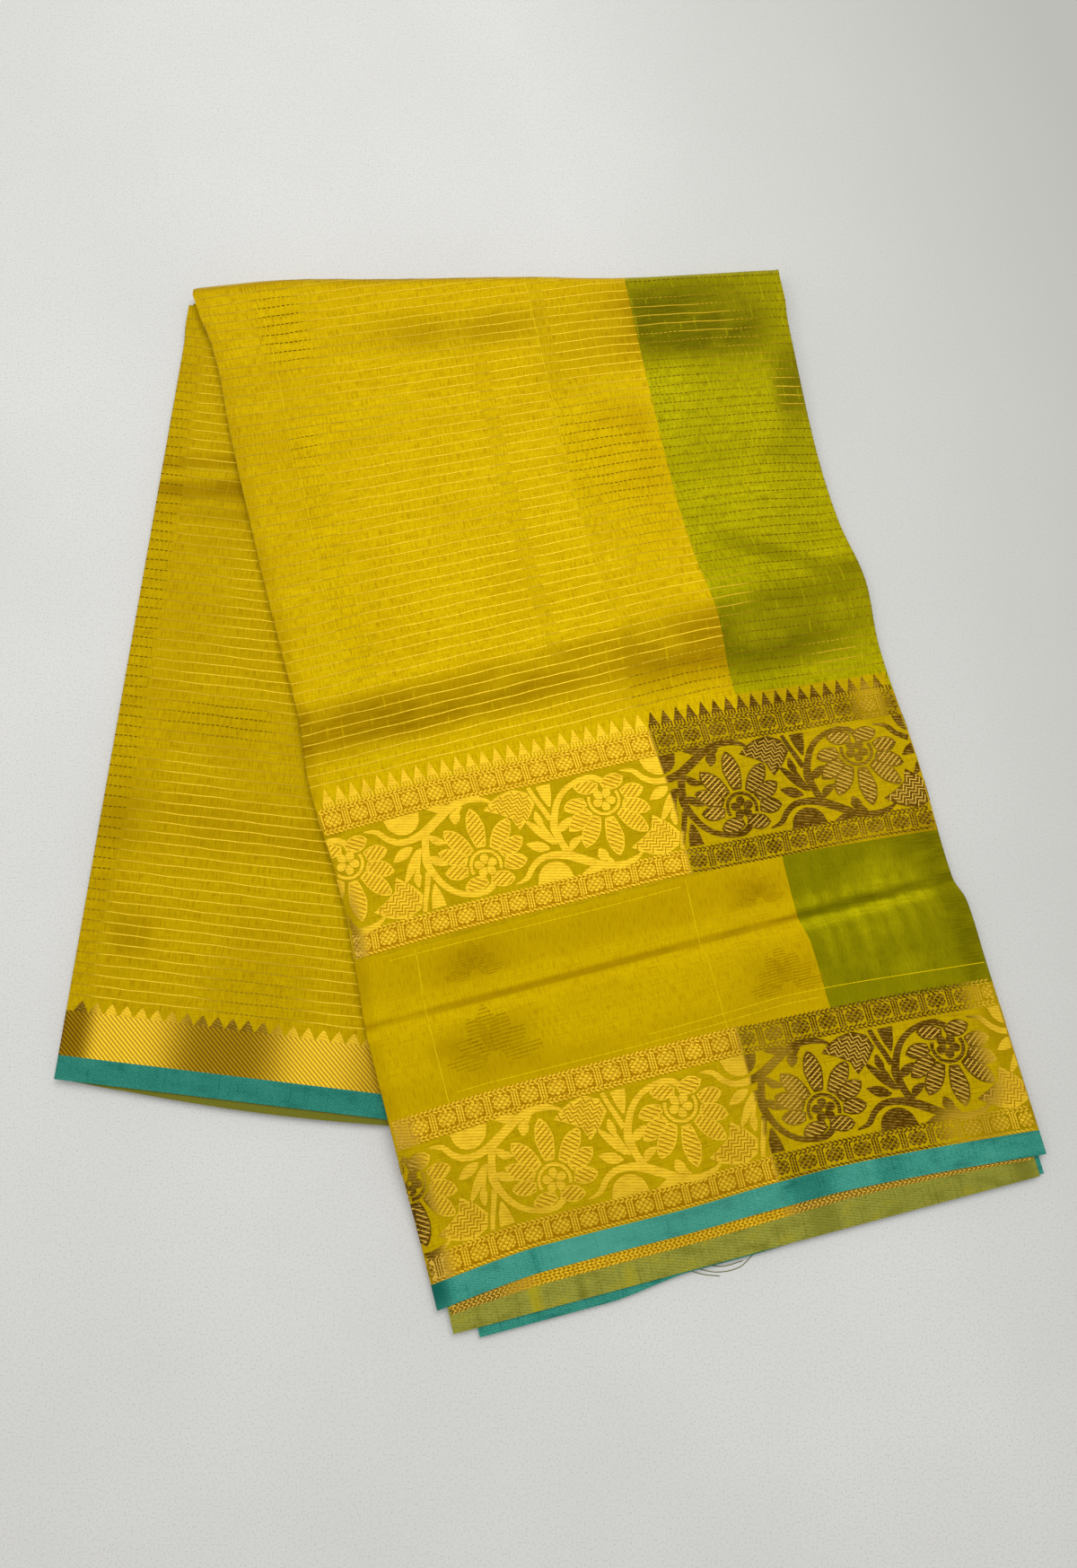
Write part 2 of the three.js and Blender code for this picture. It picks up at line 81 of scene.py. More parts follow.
# Where the front half comes down to the table, and where the top fold holds it up
BRIDGE = 10
FALL = 50
HELD_FROM = 20
HELD_TO = 80

# Distances below the top fold over which the long edges open flat and the troughs fade
EDGES_CLOSED = 45
EDGES_OPEN = 15
TROUGHS_FULL = 37
TROUGHS_GONE = 12
TROUGH_END = 25
LEAST_TURN = 1e-4
SHARP_ANGLE = math.radians(50)

# How the woven rows of the front half drop towards both edges
RIGHT_DROP = {"start": 225, "most": 9, "power": 1.3}
LEFT_DROP = {"start": 60, "most": 5.5, "power": 1.3, "fades_by": 190}

# Derived heights and radii
SUPPORT = HALF_HEIGHT + SEAM
FOLD_RADIUS = (2 * HALF_HEIGHT + SEAM) / 2
LAYER_STEP = WALL + SEAM
TOP_MIDDLE = HALF_HEIGHT - WALL / 2
TURN_RADIUS = LAYER_STEP / 2
OUTER_TURN = TURN_RADIUS + WALL / 2
TURN_LENGTH = math.pi * TURN_RADIUS

# How the long edges of the front half wander: distance from the hem, left edge, right edge
FRONT_EDGES = np.array([
    (0, 1, 2.5), (100, -1, 2.2), (136, -2, 2), (150, -2, -2), (220, 1.5, -1), (290, -2.5, -3),
    (333, 0, 1), (372, -1, -4), (424, -2, -4.5), (511, -2, 1), (560, -0.5, 3.7), (614, -5, 4),
])

# How the top fold bows outwards: distance from its left end, bow
FOLD_BOW = np.array([(0, 0), (57, 4), (123, 2.3), (206, 0.8), (265, -2), (355, 0)])

# Troughs and ridges: distance from the hem, tilt, depth, width, from, to
FRONT_FOLDS = [
    (320, 0.02, 0.9, 17, 0, 320),
    (151, -0.01, 0.5, 8, 0, 344),
    (352, 0.1, 0.6, 9, 235, 344),
    (395, -0.25, 0.6, 11, 215, 344),
    (498, -0.12, 0.8, 22, 60, 344),
    (560, -0.1, 0.5, 14, 20, 180),
]
FRONT_CREASES = [
    (342, 0.0, -0.3, 4.5, 120, 270),
    (301, 0.01, -0.2, 6, 20, 230),
    (149, -0.01, -0.35, 2.4, 0, 344),
    (156, -0.01, -0.25, 4, 120, 344),
    (428, -0.9, 0.35, 7, 205, 285),
    (410, -0.95, -0.3, 6, 215, 300),
    (374, -0.6, 0.35, 5, 262, 344),
    (362, -0.35, -0.3, 4, 250, 344),
    (330, 0.05, 0.4, 5, 262, 344),
    (312, -0.05, -0.3, 5, 270, 344),
    (455, -0.05, 0.25, 8, 270, 344),
    (520, -0.2, -0.3, 12, 90, 260),
    (575, -0.18, -0.25, 9, 60, 200),
    (585, -0.22, 0.25, 6, 0, 90),
    (480, 0.35, 0.2, 6, 0, 70),
    (450, 0.3, -0.18, 7, 0, 60),
    (246, 0.0, 0.12, 9, 30, 300),
    (60, 0.01, 0.15, 12, 40, 300),
    (120, 0.02, 0.15, 9, 60, 250),
]
BACK_FOLDS = [
    (352, 0.12, 0.9, 10, 0, 110),
    (372, 0.2, 0.5, 7, 10, 110),
    (95, 0, 0.4, 18, 20, 160),
]
BACK_CREASES = [
    (362, 0.16, -0.35, 3.5, 0, 90),
    (343, 0.1, -0.35, 3.5, 0, 95),
    (381, 0.22, -0.3, 3.5, 0, 80),
    (395, 0.1, 0.3, 5, 0, 70),
    (330, 0.05, 0.25, 6, 0, 100),
    (165, 0.02, 0.25, 12, 0, 190),
    (210, -0.05, 0.2, 9, 20, 160),
    (60, 0.02, 0.15, 9, 0, 200),
]


def ease(value):
    t = np.clip(value, 0, 1)
    return t * t * (3 - 2 * t)


def ease_between(value, start, end):
    return ease((value - start) / (end - start))


def read_table(table, along, column):
    """Smooth value of one column of a table at distances along it."""
    at, value = table[:, 0], table[:, column]
    last = len(at) - 1
    along = np.clip(along, at[0], at[-1])
    a = np.clip(np.searchsorted(at, along, side="right") - 1, 0, last - 1)
    before, after = np.maximum(a - 1, 0), np.minimum(a + 2, last)
    span = at[a + 1] - at[a]
    slope_a = (value[a + 1] - value[before]) / (at[a + 1] - at[before])
    slope_b = (value[after] - value[a]) / (at[after] - at[a])
    t = (along - at[a]) / span
    start = (2 * t**3 - 3 * t**2 + 1) * value[a] + (t**3 - 2 * t**2 + t) * slope_a * span
    return start + (3 * t**2 - 2 * t**3) * value[a + 1] + (t**3 - t**2) * slope_b * span


def fold_depth(rows, x, y):
    """Depth of the troughs of a table, less its ridges."""
    depth = np.zeros(np.broadcast(x, y).shape)
    for along, tilt, deep, width, start, stop in rows:
        across = (y - along - tilt * (x - (start + stop) / 2)) / width
        ends = ease((x - start) / TROUGH_END) * ease((stop - x) / TROUGH_END)
        depth += deep * np.exp(-across * across) * ends
    return depth


class Strip:
    """A half of the fold, turned about the fold's left end."""

    def __init__(self, turn, inset, length):
        self.cos, self.sin = math.cos(turn), math.sin(turn)
        self.origin_x = inset * self.cos + length * self.sin
        self.origin_y = inset * self.sin - length * self.cos
        self.slant = math.cos(turn - FOLD_SLOPE)

    def to_table(self, x, y):
        return (self.origin_x + x * self.cos - y * self.sin, self.origin_y + x * self.sin + y * self.cos)

    def to_strip(self, px, py):
        dx, dy = px - self.origin_x, py - self.origin_y
        return dx * self.cos + dy * self.sin, dy * self.cos - dx * self.sin


front_strip = Strip(FRONT_TURN, FRONT_INSET, FRONT_EDGE)
back_strip = Strip(BACK_TURN, 0, BACK_EDGE)
FOLD_OUT = (-math.sin(FOLD_SLOPE), math.cos(FOLD_SLOPE))

# From the fold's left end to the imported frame, read off the back selvedge's box
selvedge_low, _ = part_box("back_selvedge")
SHIFT_X = selvedge_low[0] / MM - back_strip.to_table(0, 0)[0]
SHIFT_Y = selvedge_low[1] / MM - back_strip.to_table(STRIP_WIDTH, 0)[1]


def below_fold(px, py):
    """Distance of a place on the table from the line of the top fold."""
    along = px * math.cos(FOLD_SLOPE) + py * math.sin(FOLD_SLOPE)
    return read_table(FOLD_BOW, along, 1) - (px * FOLD_OUT[0] + py * FOLD_OUT[1])


def front_support(px, py):
    """Height of what the front half lies on: the back half, then a soft fall to the table."""
    x, y = back_strip.to_strip(px, py)
    past = np.hypot(np.maximum(0, np.maximum(x - STRIP_WIDTH, -x)), np.maximum(0, -y))
    cover = 1 - ease((past - BRIDGE) / FALL)
    by_fold = 1 - ease_between(below_fold(px, py), HELD_FROM, HELD_TO)
    return np.maximum(cover, by_fold) * SUPPORT


def front_x(u, y):
    left = read_table(FRONT_EDGES, y, 1)
    right = read_table(FRONT_EDGES, y, 2)
    return left + (u / STRIP_WIDTH) * (STRIP_WIDTH + right - left)


def front_drop(u, y):
    right = np.clip((u - RIGHT_DROP["start"]) / (STRIP_WIDTH - RIGHT_DROP["start"]), 0, 1)
    left = np.clip(1 - u / LEFT_DROP["start"], 0, 1) ** LEFT_DROP["power"]
    left = left * np.clip(1 - y / LEFT_DROP["fades_by"], 0, 1)
    below_hem = np.clip(1 + y / SECOND_HEM["reach"], 0, 1)
    return -(RIGHT_DROP["most"] * right ** RIGHT_DROP["power"] + LEFT_DROP["most"] * left) * below_hem


class Half:
    """One half of the fold: where its woven rows and columns lie, what it lies on, and its folds."""

    def __init__(self, strip, place_x, drop, support, folds, field_base):
        self.strip = strip
        self.place_x = place_x
        self.drop = drop
        self.support = support
        self.folds = folds
        self.field_base = field_base

    def reach_fold(self, u, depth):
        """Distance from the hem at which a column is the given depth below the fold."""
        y = np.full(np.shape(u), float(BACK_EDGE))
        for _ in range(8):
            px, py = self.strip.to_table(self.place_x(u, y), y)
            y = y + (below_fold(px, py) - depth) / self.strip.slant
        return y


front = Half(front_strip, front_x, front_drop, front_support, FRONT_FOLDS + FRONT_CREASES, UPPER_BORDER_TOP)
back = Half(back_strip, lambda u, y: u + 0 * y, lambda u, y: 0 * (u + y), lambda px, py: 0 * px,
            BACK_FOLDS + BACK_CREASES, BACK_BORDER_TOP)


def split_edge(s):
    """Distance across the strip as a place on top and a distance round a folded edge."""
    u = np.clip(s, OUTER_TURN, STRIP_WIDTH - OUTER_TURN)
    return u, s - u


def surface(half, u, turn, y, middle, offset):
    """Points of a layer in metres: u across the strip, turn round its long edge, y from its hem."""
    u, turn, y = np.broadcast_arrays(u, turn, y)
    bend_start = half.reach_fold(u, FOLD_RADIUS)
    flat_y = np.minimum(y, bend_start)
    over = np.clip((y - bend_start) * half.strip.slant / FOLD_RADIUS, 0, math.pi)
    x = half.place_x(u, flat_y)
    px, py = half.strip.to_table(x, flat_y)
    depth = below_fold(px, py)
    closed = np.maximum(LEAST_TURN, math.pi * (1 - ease_between(depth, EDGES_CLOSED, EDGES_OPEN)))
    angle = closed * np.abs(turn) / TURN_LENGTH
    bend = TURN_LENGTH / closed
    outwards = np.sign(turn) * np.sin(angle) * (bend + offset)
    down = (1 - np.cos(angle)) * bend
    qx, qy = half.strip.to_table(x + outwards, flat_y)
    sink = fold_depth(half.folds, x, flat_y) * (1 - ease_between(depth, TROUGHS_FULL, TROUGHS_GONE))
    sink = sink * max(0, middle / TOP_MIDDLE)
    z = half.support(px, py) + middle - sink - down + offset * np.cos(angle)
    reach = FOLD_RADIUS - WALL / 2 + offset - (TOP_MIDDLE - middle)
    qx = qx + FOLD_OUT[0] * reach * np.sin(over)
    qy = qy + FOLD_OUT[1] * reach * np.sin(over)
    z = np.where(over > 0, FOLD_RADIUS + reach * np.cos(over), z)
    return np.stack([(qx + SHIFT_X) * MM, (qy + SHIFT_Y) * MM, z * MM], -1)


# Meshes
def pairs(x, y):
    """Points of two coordinates, either of which may be one value for all."""
    return np.stack(np.broadcast_arrays(x, y), -1)


def grid_faces(rows, columns, start=0):
    first = np.arange(rows - 1)[:, None] * columns + np.arange(columns - 1)[None, :] + start
    return np.stack([first, first + 1, first + columns + 1, first + columns], -1).reshape(-1, 4)


def add_object(name, data):
    made = bpy.data.objects.new(name, data)
    bpy.context.scene.collection.objects.link(made)
    return made


def add_piece(name, points, faces, weave, slot, material, **values):
    """A new mesh piece with its woven coordinates as a UV map and its values at each point."""
    mesh = bpy.data.meshes.new(name)
    mesh.from_pydata(points.tolist(), [], [list(map(int, face)) for face in faces])
    mesh.validate()
    corners = np.empty(len(mesh.loops), int)
    mesh.loops.foreach_get("vertex_index", corners)
    layer = mesh.uv_layers.new(name="weave")
    layer.data.foreach_set("uv", (weave[corners] * MM).ravel())
    for key, value in values.items():
        mesh.attributes.new(key, "FLOAT", "POINT").data.foreach_set("value", np.ravel(value))
    mesh.shade_smooth()
    mesh.set_sharp_from_angle(angle=SHARP_ANGLE)
    mesh.materials.append(material)
    piece = add_object(name, mesh)
    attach(piece, "root")
    return piece


def shell_faces(rows, columns):
    """Faces of a thin closed sheet: an outer grid, an inner one, and the rims between them."""
    size = rows * columns
    outer = grid_faces(rows, columns)
    inner = grid_faces(rows, columns, size)[:, ::-1]
    i, j = np.arange(rows - 1), np.arange(columns - 1)
    left, right = i * columns, i * columns + columns - 1
    low, high = j, (rows - 1) * columns + j
    rims = [
        np.stack([left, left + columns, left + columns + size, left + size], -1),
        np.stack([right + columns, right, right + size, right + columns + size], -1),
        np.stack([low + 1, low, low + size, low + 1 + size], -1),
        np.stack([high, high + 1, high + 1 + size, high + size], -1),
    ]
    return np.concatenate([outer, inner, *rims])


GRID_STEP = 2.4
EDGE_STEPS = 6
FOLD_STEPS = 14
BACK_FIELD_GAP = 2.6


def spread(start, stop, step=GRID_STEP):
    return np.linspace(start, stop, max(2, math.ceil((stop - start) / step) + 1))


def zone_columns(start, stop):
    """Distances across the strip, fine round a folded edge."""
    flat = spread(max(start, OUTER_TURN), min(stop, STRIP_WIDTH - OUTER_TURN))
    edge = np.linspace(0, TURN_LENGTH, EDGE_STEPS + 1)[1:]
    left = OUTER_TURN - edge[::-1] if start == 0 else []
    right = STRIP_WIDTH - OUTER_TURN + edge if stop == STRIP_WIDTH else []
    return np.concatenate([left, flat, right])


def band_rows(half, u, start, stop):
    """Rows of a band between two distances from the hem."""
    plain = spread(start, stop)[:, None] + 0 * u
    return plain + half.drop(u, plain)


def field_rows(half, u):
    """Rows of a field: up to the top fold and, on the front half, round it."""
    gap = BACK_FIELD_GAP if half is back else 0
    base = half.field_base + half.drop(u, half.field_base)
    end = half.reach_fold(u, FOLD_RADIUS + gap)
    count = math.ceil(np.max(end - base) / GRID_STEP)
    rows = base + (end - base) * np.linspace(0, 1, count)[:, None]
    if half is back:
        return rows
    angles = np.linspace(0, math.pi, FOLD_STEPS + 1)[1:, None]
    return np.concatenate([rows, end + angles * FOLD_RADIUS / half.strip.slant])


# Soft places of painted shade and painted highlight, along troughs, creases, the top fold and the edges, and
# of the cloth's own tone, where the figure of the layer below shows through: x, y, half width, half height,
# tilt, amount
FRONT_PAINTED_LIGHT_AND_TONE = [
    (100, 321, 150, 17, 0.0, -0.72),
    (100, 312, 60, 9, 0.0, -0.25),
    (120, 345, 150, 8, 0.02, 0.3),
    (225, 320, 32, 17, 0.03, -0.35),
    (300, 322, 60, 22, 0.02, -0.68),
    (320, 352, 22, 8, 0.1, 0.3),
    (290, 518, 50, 30, -0.15, -0.88),
    (310, 552, 60, 9, -0.15, 0.45),
    (338, 460, 12, 24, 0.5, -0.85),
    (275, 430, 40, 60, 0.0, 0.2),
    (296, 362, 34, 7, -0.55, -0.5),
    (330, 347, 20, 6, -0.3, -0.45),
    (284, 300, 44, 10, 0.0, -0.5),
    (272, 514, 18, 20, 0.0, -0.45),
    (304, 500, 24, 14, -0.15, -0.3),
    (300, 395, 30, 12, -0.2, 0.3),
    (148, 540, 40, 12, -0.1, -0.3),
    (34, 320, 40, 16, 0.0, -0.25),
    (222, 304, 26, 9, 0.0, -0.3),
    (244, 434, 12, 34, 0.0, -0.35),
    (290, 592, 50, 24, 0.0, -0.5),
    (300, 425, 40, 9, -0.2, -0.3),
    (262, 470, 14, 40, 0.0, 0.3),
    (90, 597, 120, 7, -0.2, -0.45),
    (230, 566, 130, 6, -0.2, -0.5),
    (140, 548, 60, 11, -0.2, -0.3),
    (225, 520, 40, 30, -0.1, -0.3),
    (235, 468, 22, 12, -0.1, -0.25),
    (120, 430, 110, 60, 0.0, 0.15),
    (22, 480, 22, 110, 0.0, -0.2),
    (66, 172, 20, 10, 0.0, -0.3),
    (66, 126, 27, 17, 0.0, -0.42),
    (40, 128, 10, 6, 0.0, -0.3),
    (232, 172, 16, 9, 0.0, -0.3),
    (232, 124, 22, 13, 0.0, -0.35),
    (170, 157, 190, 4, 0.0, 0.3),
    (170, 150.5, 190, 2.2, 0.0, -0.9),
    (170, 145, 190, 3.4, 0.0, 0.8),
    (120, 175, 150, 14, 0.0, -0.3),
    (120, 107, 150, 9, 0.0, -0.25),
    (300, 172, 40, 16, 0.0, -0.35),
    (300, 122, 60, 20, 0.0, -0.2),
    (2, 300, 5, 330, 0.0, -0.35),
    (2, 7, 8, 14, 0.0, -0.9),
    (58, 7, 1.6, 14, 0.0, -0.4),
    (214, 7, 13, 14, 0.0, -0.75),
    (258, 7, 8, 14, 0.0, -0.4),
    (90, 7, 22, 14, 0.0, 0.2),
    (140, 7, 130, 14, 0.0, 0.25),
    (338, 130, 8, 60, 0.0, -0.6),
    (300, 151, 50, 2.8, 0.0, -0.6),
    (290, 134, 40, 8, 0.0, 0.15),
    (330, 257, 20, 7, -0.06, -0.9),
    (326, 13, 24, 7, -0.06, -0.9),
    (341, 50, 9, 50, 0.0, -0.5),
    (330, 175, 20, 10, 0.0, -0.35),
]

# Lighter warp streaks of the green plain band: place across the strip, half width, amount
GREEN_STREAKS = [
    (262, 3, 0.3), (271, 2.4, 0.25), (283, 3, 0.32), (293, 2, 0.2), (301, 4, 0.3),
    (312, 2.6, 0.26), (322, 2, 0.2),
]
FRONT_PAINTED_LIGHT_AND_TONE += [(x, 142, wide, 44, 0.0, amount) for x, wide, amount in GREEN_STREAKS]
# Painted shade and painted highlight along the back half's wrinkles and across its field, and a darker
# selvedge: x, y, half width, half height, tilt, amount
BACK_PAINTED_LIGHT_AND_TONE = [
    (45, 372, 60, 5, 0.15, -0.7),
    (45, 355, 60, 7, 0.1, -0.9),
    (45, 364, 60, 3.5, 0.14, 0.5),
    (50, 338, 60, 4, 0.08, -0.35),
    (60, 300, 60, 24, 0.0, 0.15),
    (30, 83, 12, 12, 0.0, -0.5),
    (60, 150, 130, 16, 0.0, -0.3),
    (70, 190, 110, 12, 0.0, 0.2),
    (80, 120, 100, 12, 0.0, 0.15),
    (12, 150, 12, 70, 0.0, -0.2),
    (170, 6, 400, 14, 0.0, -0.42),
]
HEM_TONES = [
    (53, -12, 3.2, 30, 0.0, 0.6),
    (78.5, -12, 1.6, 30, 0.0, -0.5),
    (106, -15, 3, 8, 0.0, 0.4),
    (216, -12, 9, 30, 0.0, -0.45),
    (330, -12, 6, 30, 0.0, -0.5),
    (290, -15, 60, 12, 0.0, -0.2),
]


def soft_places(rows, x, y):
    """Sum of a table's soft places: each has its amount in its middle and fades out at its rim."""
    total = np.zeros(np.broadcast(x, y).shape)
    for middle_x, middle_y, wide, high, tilt, amount in rows:
        across = (y - middle_y - tilt * (x - middle_x)) / high
        along = (x - middle_x) / wide
        total += amount * np.exp(-(across**2) ** 1.5 - (along**2) ** 2)
    return np.clip(total, -1, 1)


def thin_sheet(name, half, u, turn, rows, weave, middle, slot, material, **values):
    """A thin closed sheet whose outer face is its solid's outer face."""
    outer = surface(half, u, turn, rows, middle, WALL / 2)
    inner = surface(half, u, turn, rows, middle, WALL / 2 - CLOTH)
    points = np.concatenate([outer.reshape(-1, 3), inner.reshape(-1, 3)])
    values = {key: np.tile(np.ravel(value), 2) for key, value in values.items()}
    return add_piece(name + "_cloth", points, shell_faces(*rows.shape), np.tile(weave.reshape(-1, 2), (2, 1)),
                     slot, material, **values)


# Materials

SPECULAR = 0.25


def colour(red, green, blue):
    """Linear colour of an eight-bit screen colour."""
    shares = [value / 255 for value in (red, green, blue)]
    return tuple(((share + 0.055) / 1.055) ** 2.4 if share > 0.04 else share / 12.92 for share in shares)


class Shader:
    """A Principled material with short ways to add the nodes of a weave."""

    def __init__(self, name, roughness, metallic=0.0, tint=(1, 1, 1)):
        self.material = bpy.data.materials.new(name)
        self.material.use_nodes = True
        self.tree = self.material.node_tree
        self.principled = self.tree.nodes["Principled BSDF"]
        self.principled.inputs["Roughness"].default_value = roughness
        self.principled.inputs["Metallic"].default_value = metallic
        self.principled.inputs["Specular IOR Level"].default_value = SPECULAR
        self.principled.inputs["Specular Tint"].default_value = (*tint, 1)
        self.weave = self.node("ShaderNodeUVMap", uv_map="weave").outputs["UV"]

    def node(self, kind, inputs=(), **settings):
        made = self.tree.nodes.new(kind)
        for key, value in settings.items():
            setattr(made, key, value)
        for socket, value in inputs:
            if isinstance(value, bpy.types.NodeSocket):
                self.tree.links.new(value, made.inputs[socket])
            else:
                made.inputs[socket].default_value = value
        return made

    def math(self, operation, a, b=0.0, clamp=False):
        return self.node("ShaderNodeMath", [(0, a), (1, b)], operation=operation, use_clamp=clamp).outputs[0]

    def mix(self, factor, a, b, blend="MIX"):
        colours = [value if isinstance(value, bpy.types.NodeSocket) else (*value, 1) for value in (a, b)]
        inputs = [(0, factor), (6, colours[0]), (7, colours[1])]
        return self.node("ShaderNodeMix", inputs, data_type="RGBA", blend_type=blend).outputs[2]

    def value(self, name):
        return self.node("ShaderNodeAttribute", attribute_name=name).outputs["Fac"]

    def noise_at(self, place, scale, detail):
        inputs = [("Vector", place), ("Scale", scale), ("Detail", detail)]
        return self.node("ShaderNodeTexNoise", inputs).outputs["Fac"]

    def noise(self, size_x, size_y, detail=2.0):
        """Noise whose blots are size_x by size_y millimetres."""
        scale = (1 / (size_x * MM), 1 / (size_y * MM), 1)
        stretched = self.node("ShaderNodeVectorMath", [(0, self.weave), (1, scale)], operation="MULTIPLY")
        return self.noise_at(stretched.outputs[0], 1.0, detail)

    def stripes(self, turn, pitch, sharp=1.0):
        """Stripes from 0 to 1, pitch millimetres apart, turned from the weft by turn degrees."""
        angle = math.radians(turn)
        wave = 2 * math.pi / (pitch * MM)
        across = (-math.sin(angle) * wave, math.cos(angle) * wave, 0)
        phase = self.node("ShaderNodeVectorMath", [(0, self.weave), (1, across)], operation="DOT_PRODUCT")
        wave = self.math("SINE", phase.outputs["Value"])
        return self.math("ADD", self.math("MULTIPLY", wave, 0.5 * sharp), 0.5, clamp=True)

    def between(self, value, start, stop):
        """0 where a value is start, 1 where it is stop."""
        inputs = [(0, value), (1, start), (2, stop)]
        return self.node("ShaderNodeMapRange", inputs).outputs[0]

    def stain(self, ground, colour, value, start, stop, share=1.0):
        """The ground, mixed with a colour from none where a value is start to a share of it at stop."""
        factor = self.between(value, start, stop)
        if share != 1.0:
            factor = self.math("MULTIPLY", factor, share)
        return self.mix(factor, ground, colour)

    def toned(self, ground, dark, light):
        """The ground, darker or lighter by each point's tone value: painted shade and painted highlight, and
        the cloth's own tone.
        """
        tone = self.value("tone")
        ground = self.stain(ground, dark, tone, 0.0, -1.0)
        return self.stain(ground, light, tone, 0.0, 1.0)

    def finish(self, base, height, strength, distance):
        """The material in its colour, with a bump of the given depth in millimetres."""
        inputs = [("Strength", strength), ("Distance", distance * MM), ("Height", height)]
        bump = self.node("ShaderNodeBump", inputs)
        self.tree.links.new(bump.outputs[0], self.principled.inputs["Normal"])
        self.tree.links.new(base, self.principled.inputs["Base Color"])
        return self.material


def silk(name, base, dark, light, slub, ticks=0.3, grain=0.85):
    """Plain-woven silk: painted shade and painted highlight with soft places of its own tone, uneven threads,
    a faint warp check.
    """
    shader = Shader(name, roughness=0.5, tint=light)
    ground = shader.toned(base, dark, light)
    drift = shader.noise(42, 26)
    ground = shader.stain(ground, light, drift, 0.5, 0.8, 0.45)
    ground = shader.stain(ground, slub, drift, 0.5, 0.2, 0.35)
    ground = shader.stain(ground, slub, shader.noise(14, 0.6, 3.0), 0.46, 0.78)
    ground = shader.stain(ground, dark, shader.noise(0.7, 6, 3.0), 0.46, 0.82, grain)
    checks = [(8.8, 0.95, light, (5, 9), 0.5, 0.62), (2.9, 0.8, slub, (2.2, 3.4), 0.52, 0.7)]
    for pitch, start, thread, blots, gone, full in checks:
        stripe = shader.between(shader.stripes(90, pitch), start, 1.0)
        stripe = shader.math("MULTIPLY", stripe, ticks)
        ground = shader.stain(ground, thread, shader.noise(*blots), gone, full, stripe)
    return shader.finish(ground, shader.noise(1.4, 1.0), 0.35, 0.12)


def twill(name, base, dark, streak, turn, pitch):
    """Matte twill with fine diagonal ribs."""
    shader = Shader(name, roughness=0.6, tint=base)
    ribs = shader.stripes(turn, pitch, 1.2)
    uneven = shader.between(shader.noise(2.2, 1.2, 3.0), 0.3, 0.75)
    ground = shader.stain(base, dark, ribs, 0.6, 0.0, uneven)
    ground = shader.stain(ground, dark, shader.noise(1.0, 30), 0.55, 0.85)
    blots = shader.noise(16, 7, 3.0)
    ground = shader.stain(ground, dark, blots, 0.52, 0.85)
    ground = shader.stain(ground, streak, blots, 0.45, 0.2, 0.5)
    speckle = shader.noise(0.9, 0.8, 2.0)
    ground = shader.stain(ground, streak, speckle, 0.5, 0.8, 0.6)
    ground = shader.stain(ground, dark, speckle, 0.5, 0.2, 0.6)
    # Painted shade and painted highlight, and the cloth's own darker or lighter places, by each point's tone
    # value
    ground = shader.toned(ground, dark, streak)
    return shader.finish(ground, ribs, 0.35, 0.15)


def zari(name, bright, dark, shade, pale, turn, pitch):
    """Metal thread, bright or dark by the shine of each point, with darker or paler strokes."""
    shader = Shader(name, roughness=0.42, metallic=0.2, tint=bright)
    shine = shader.value("shine")
    mark = shader.mix(shine, pale, shade)
    dashes = shader.stripes(turn, pitch, 1.2)
    present = shader.between(shader.noise(3.4, 0.8, 3.0), 0.42, 0.6)
    fine = shader.math("MULTIPLY", shader.between(dashes, 0.55, 1.0), present)
    fine = shader.math("MULTIPLY", fine, 0.45)
    marked = shader.math("MAXIMUM", shader.value("stroke"), fine)
    ground = shader.mix(marked, shader.mix(shine, dark, bright), mark)
    # Blotches across the metal thread: painted shade where it shines, paler thread where it does not
    shade_blotch_share = shader.math("ADD", shader.math("MULTIPLY", shine, 0.28), 0.12)
    ground = shader.stain(ground, mark, shader.noise(9, 5, 4.0), 0.45, 0.8, shade_blotch_share)
    return shader.finish(ground, dashes, 0.4, 0.2)


def striped_zari(name, bright, dark, line):
    """The back border's diagonal stripes of metal thread, with two thin lines along it."""
    shader = Shader(name, roughness=0.38, metallic=0.25, tint=bright)
    shine = shader.value("shine")
    ribs = shader.stripes(-42, 1.9, 1.6)
    gap = shader.mix(shine, tuple(0.4 * c for c in dark), tuple(0.5 * c for c in bright))
    ground = shader.mix(ribs, gap, shader.mix(shine, dark, bright))
    ground = shader.stain(ground, gap, shader.noise(1.2, 0.5, 3.0), 0.45, 0.8, 0.6)
    ground = shader.stain(ground, line, shader.value("lines"), 0.4, 0.6)
    return shader.finish(ground, ribs, 0.6, 0.3)


# Each silk's and twill's darker and lighter colours serve as its painted shade and painted highlight where
# its tone value says, and also colour its grain, streaks and checks
YELLOW = colour(220, 184, 3)
YELLOW_DARK = colour(146, 110, 1)
YELLOW_LIGHT = colour(236, 204, 8)
YELLOW_SLUB = colour(190, 152, 2)
BACK_YELLOW = colour(198, 165, 3)
BACK_LIGHT = colour(214, 182, 5)
BACK_SLUB = colour(176, 140, 2)
LIGHT_THREAD = colour(228, 198, 16)
SHADOW_THREAD = colour(174, 140, 2)
GREEN = colour(178, 168, 2)
GREEN_DARK = colour(92, 86, 1)
GREEN_LIGHT = colour(206, 194, 8)
GREEN_SLUB = colour(140, 132, 2)
BAND = colour(207, 174, 2)
BAND_GREEN = colour(134, 127, 2)
GOLD_GROUND = colour(198, 166, 5)
GOLD_GROUND_DARK = colour(158, 126, 2)
GOLD_GROUND_LIGHT = colour(210, 178, 7)
BROWN_GROUND = colour(200, 168, 5)
BROWN_GROUND_DARK = colour(152, 122, 2)
BROWN_GROUND_LIGHT = colour(212, 180, 8)
ZARI_BRIGHT = colour(242, 198, 44)
ZARI_SHADE = colour(170, 122, 4)
ZARI_DARK = colour(78, 49, 2)
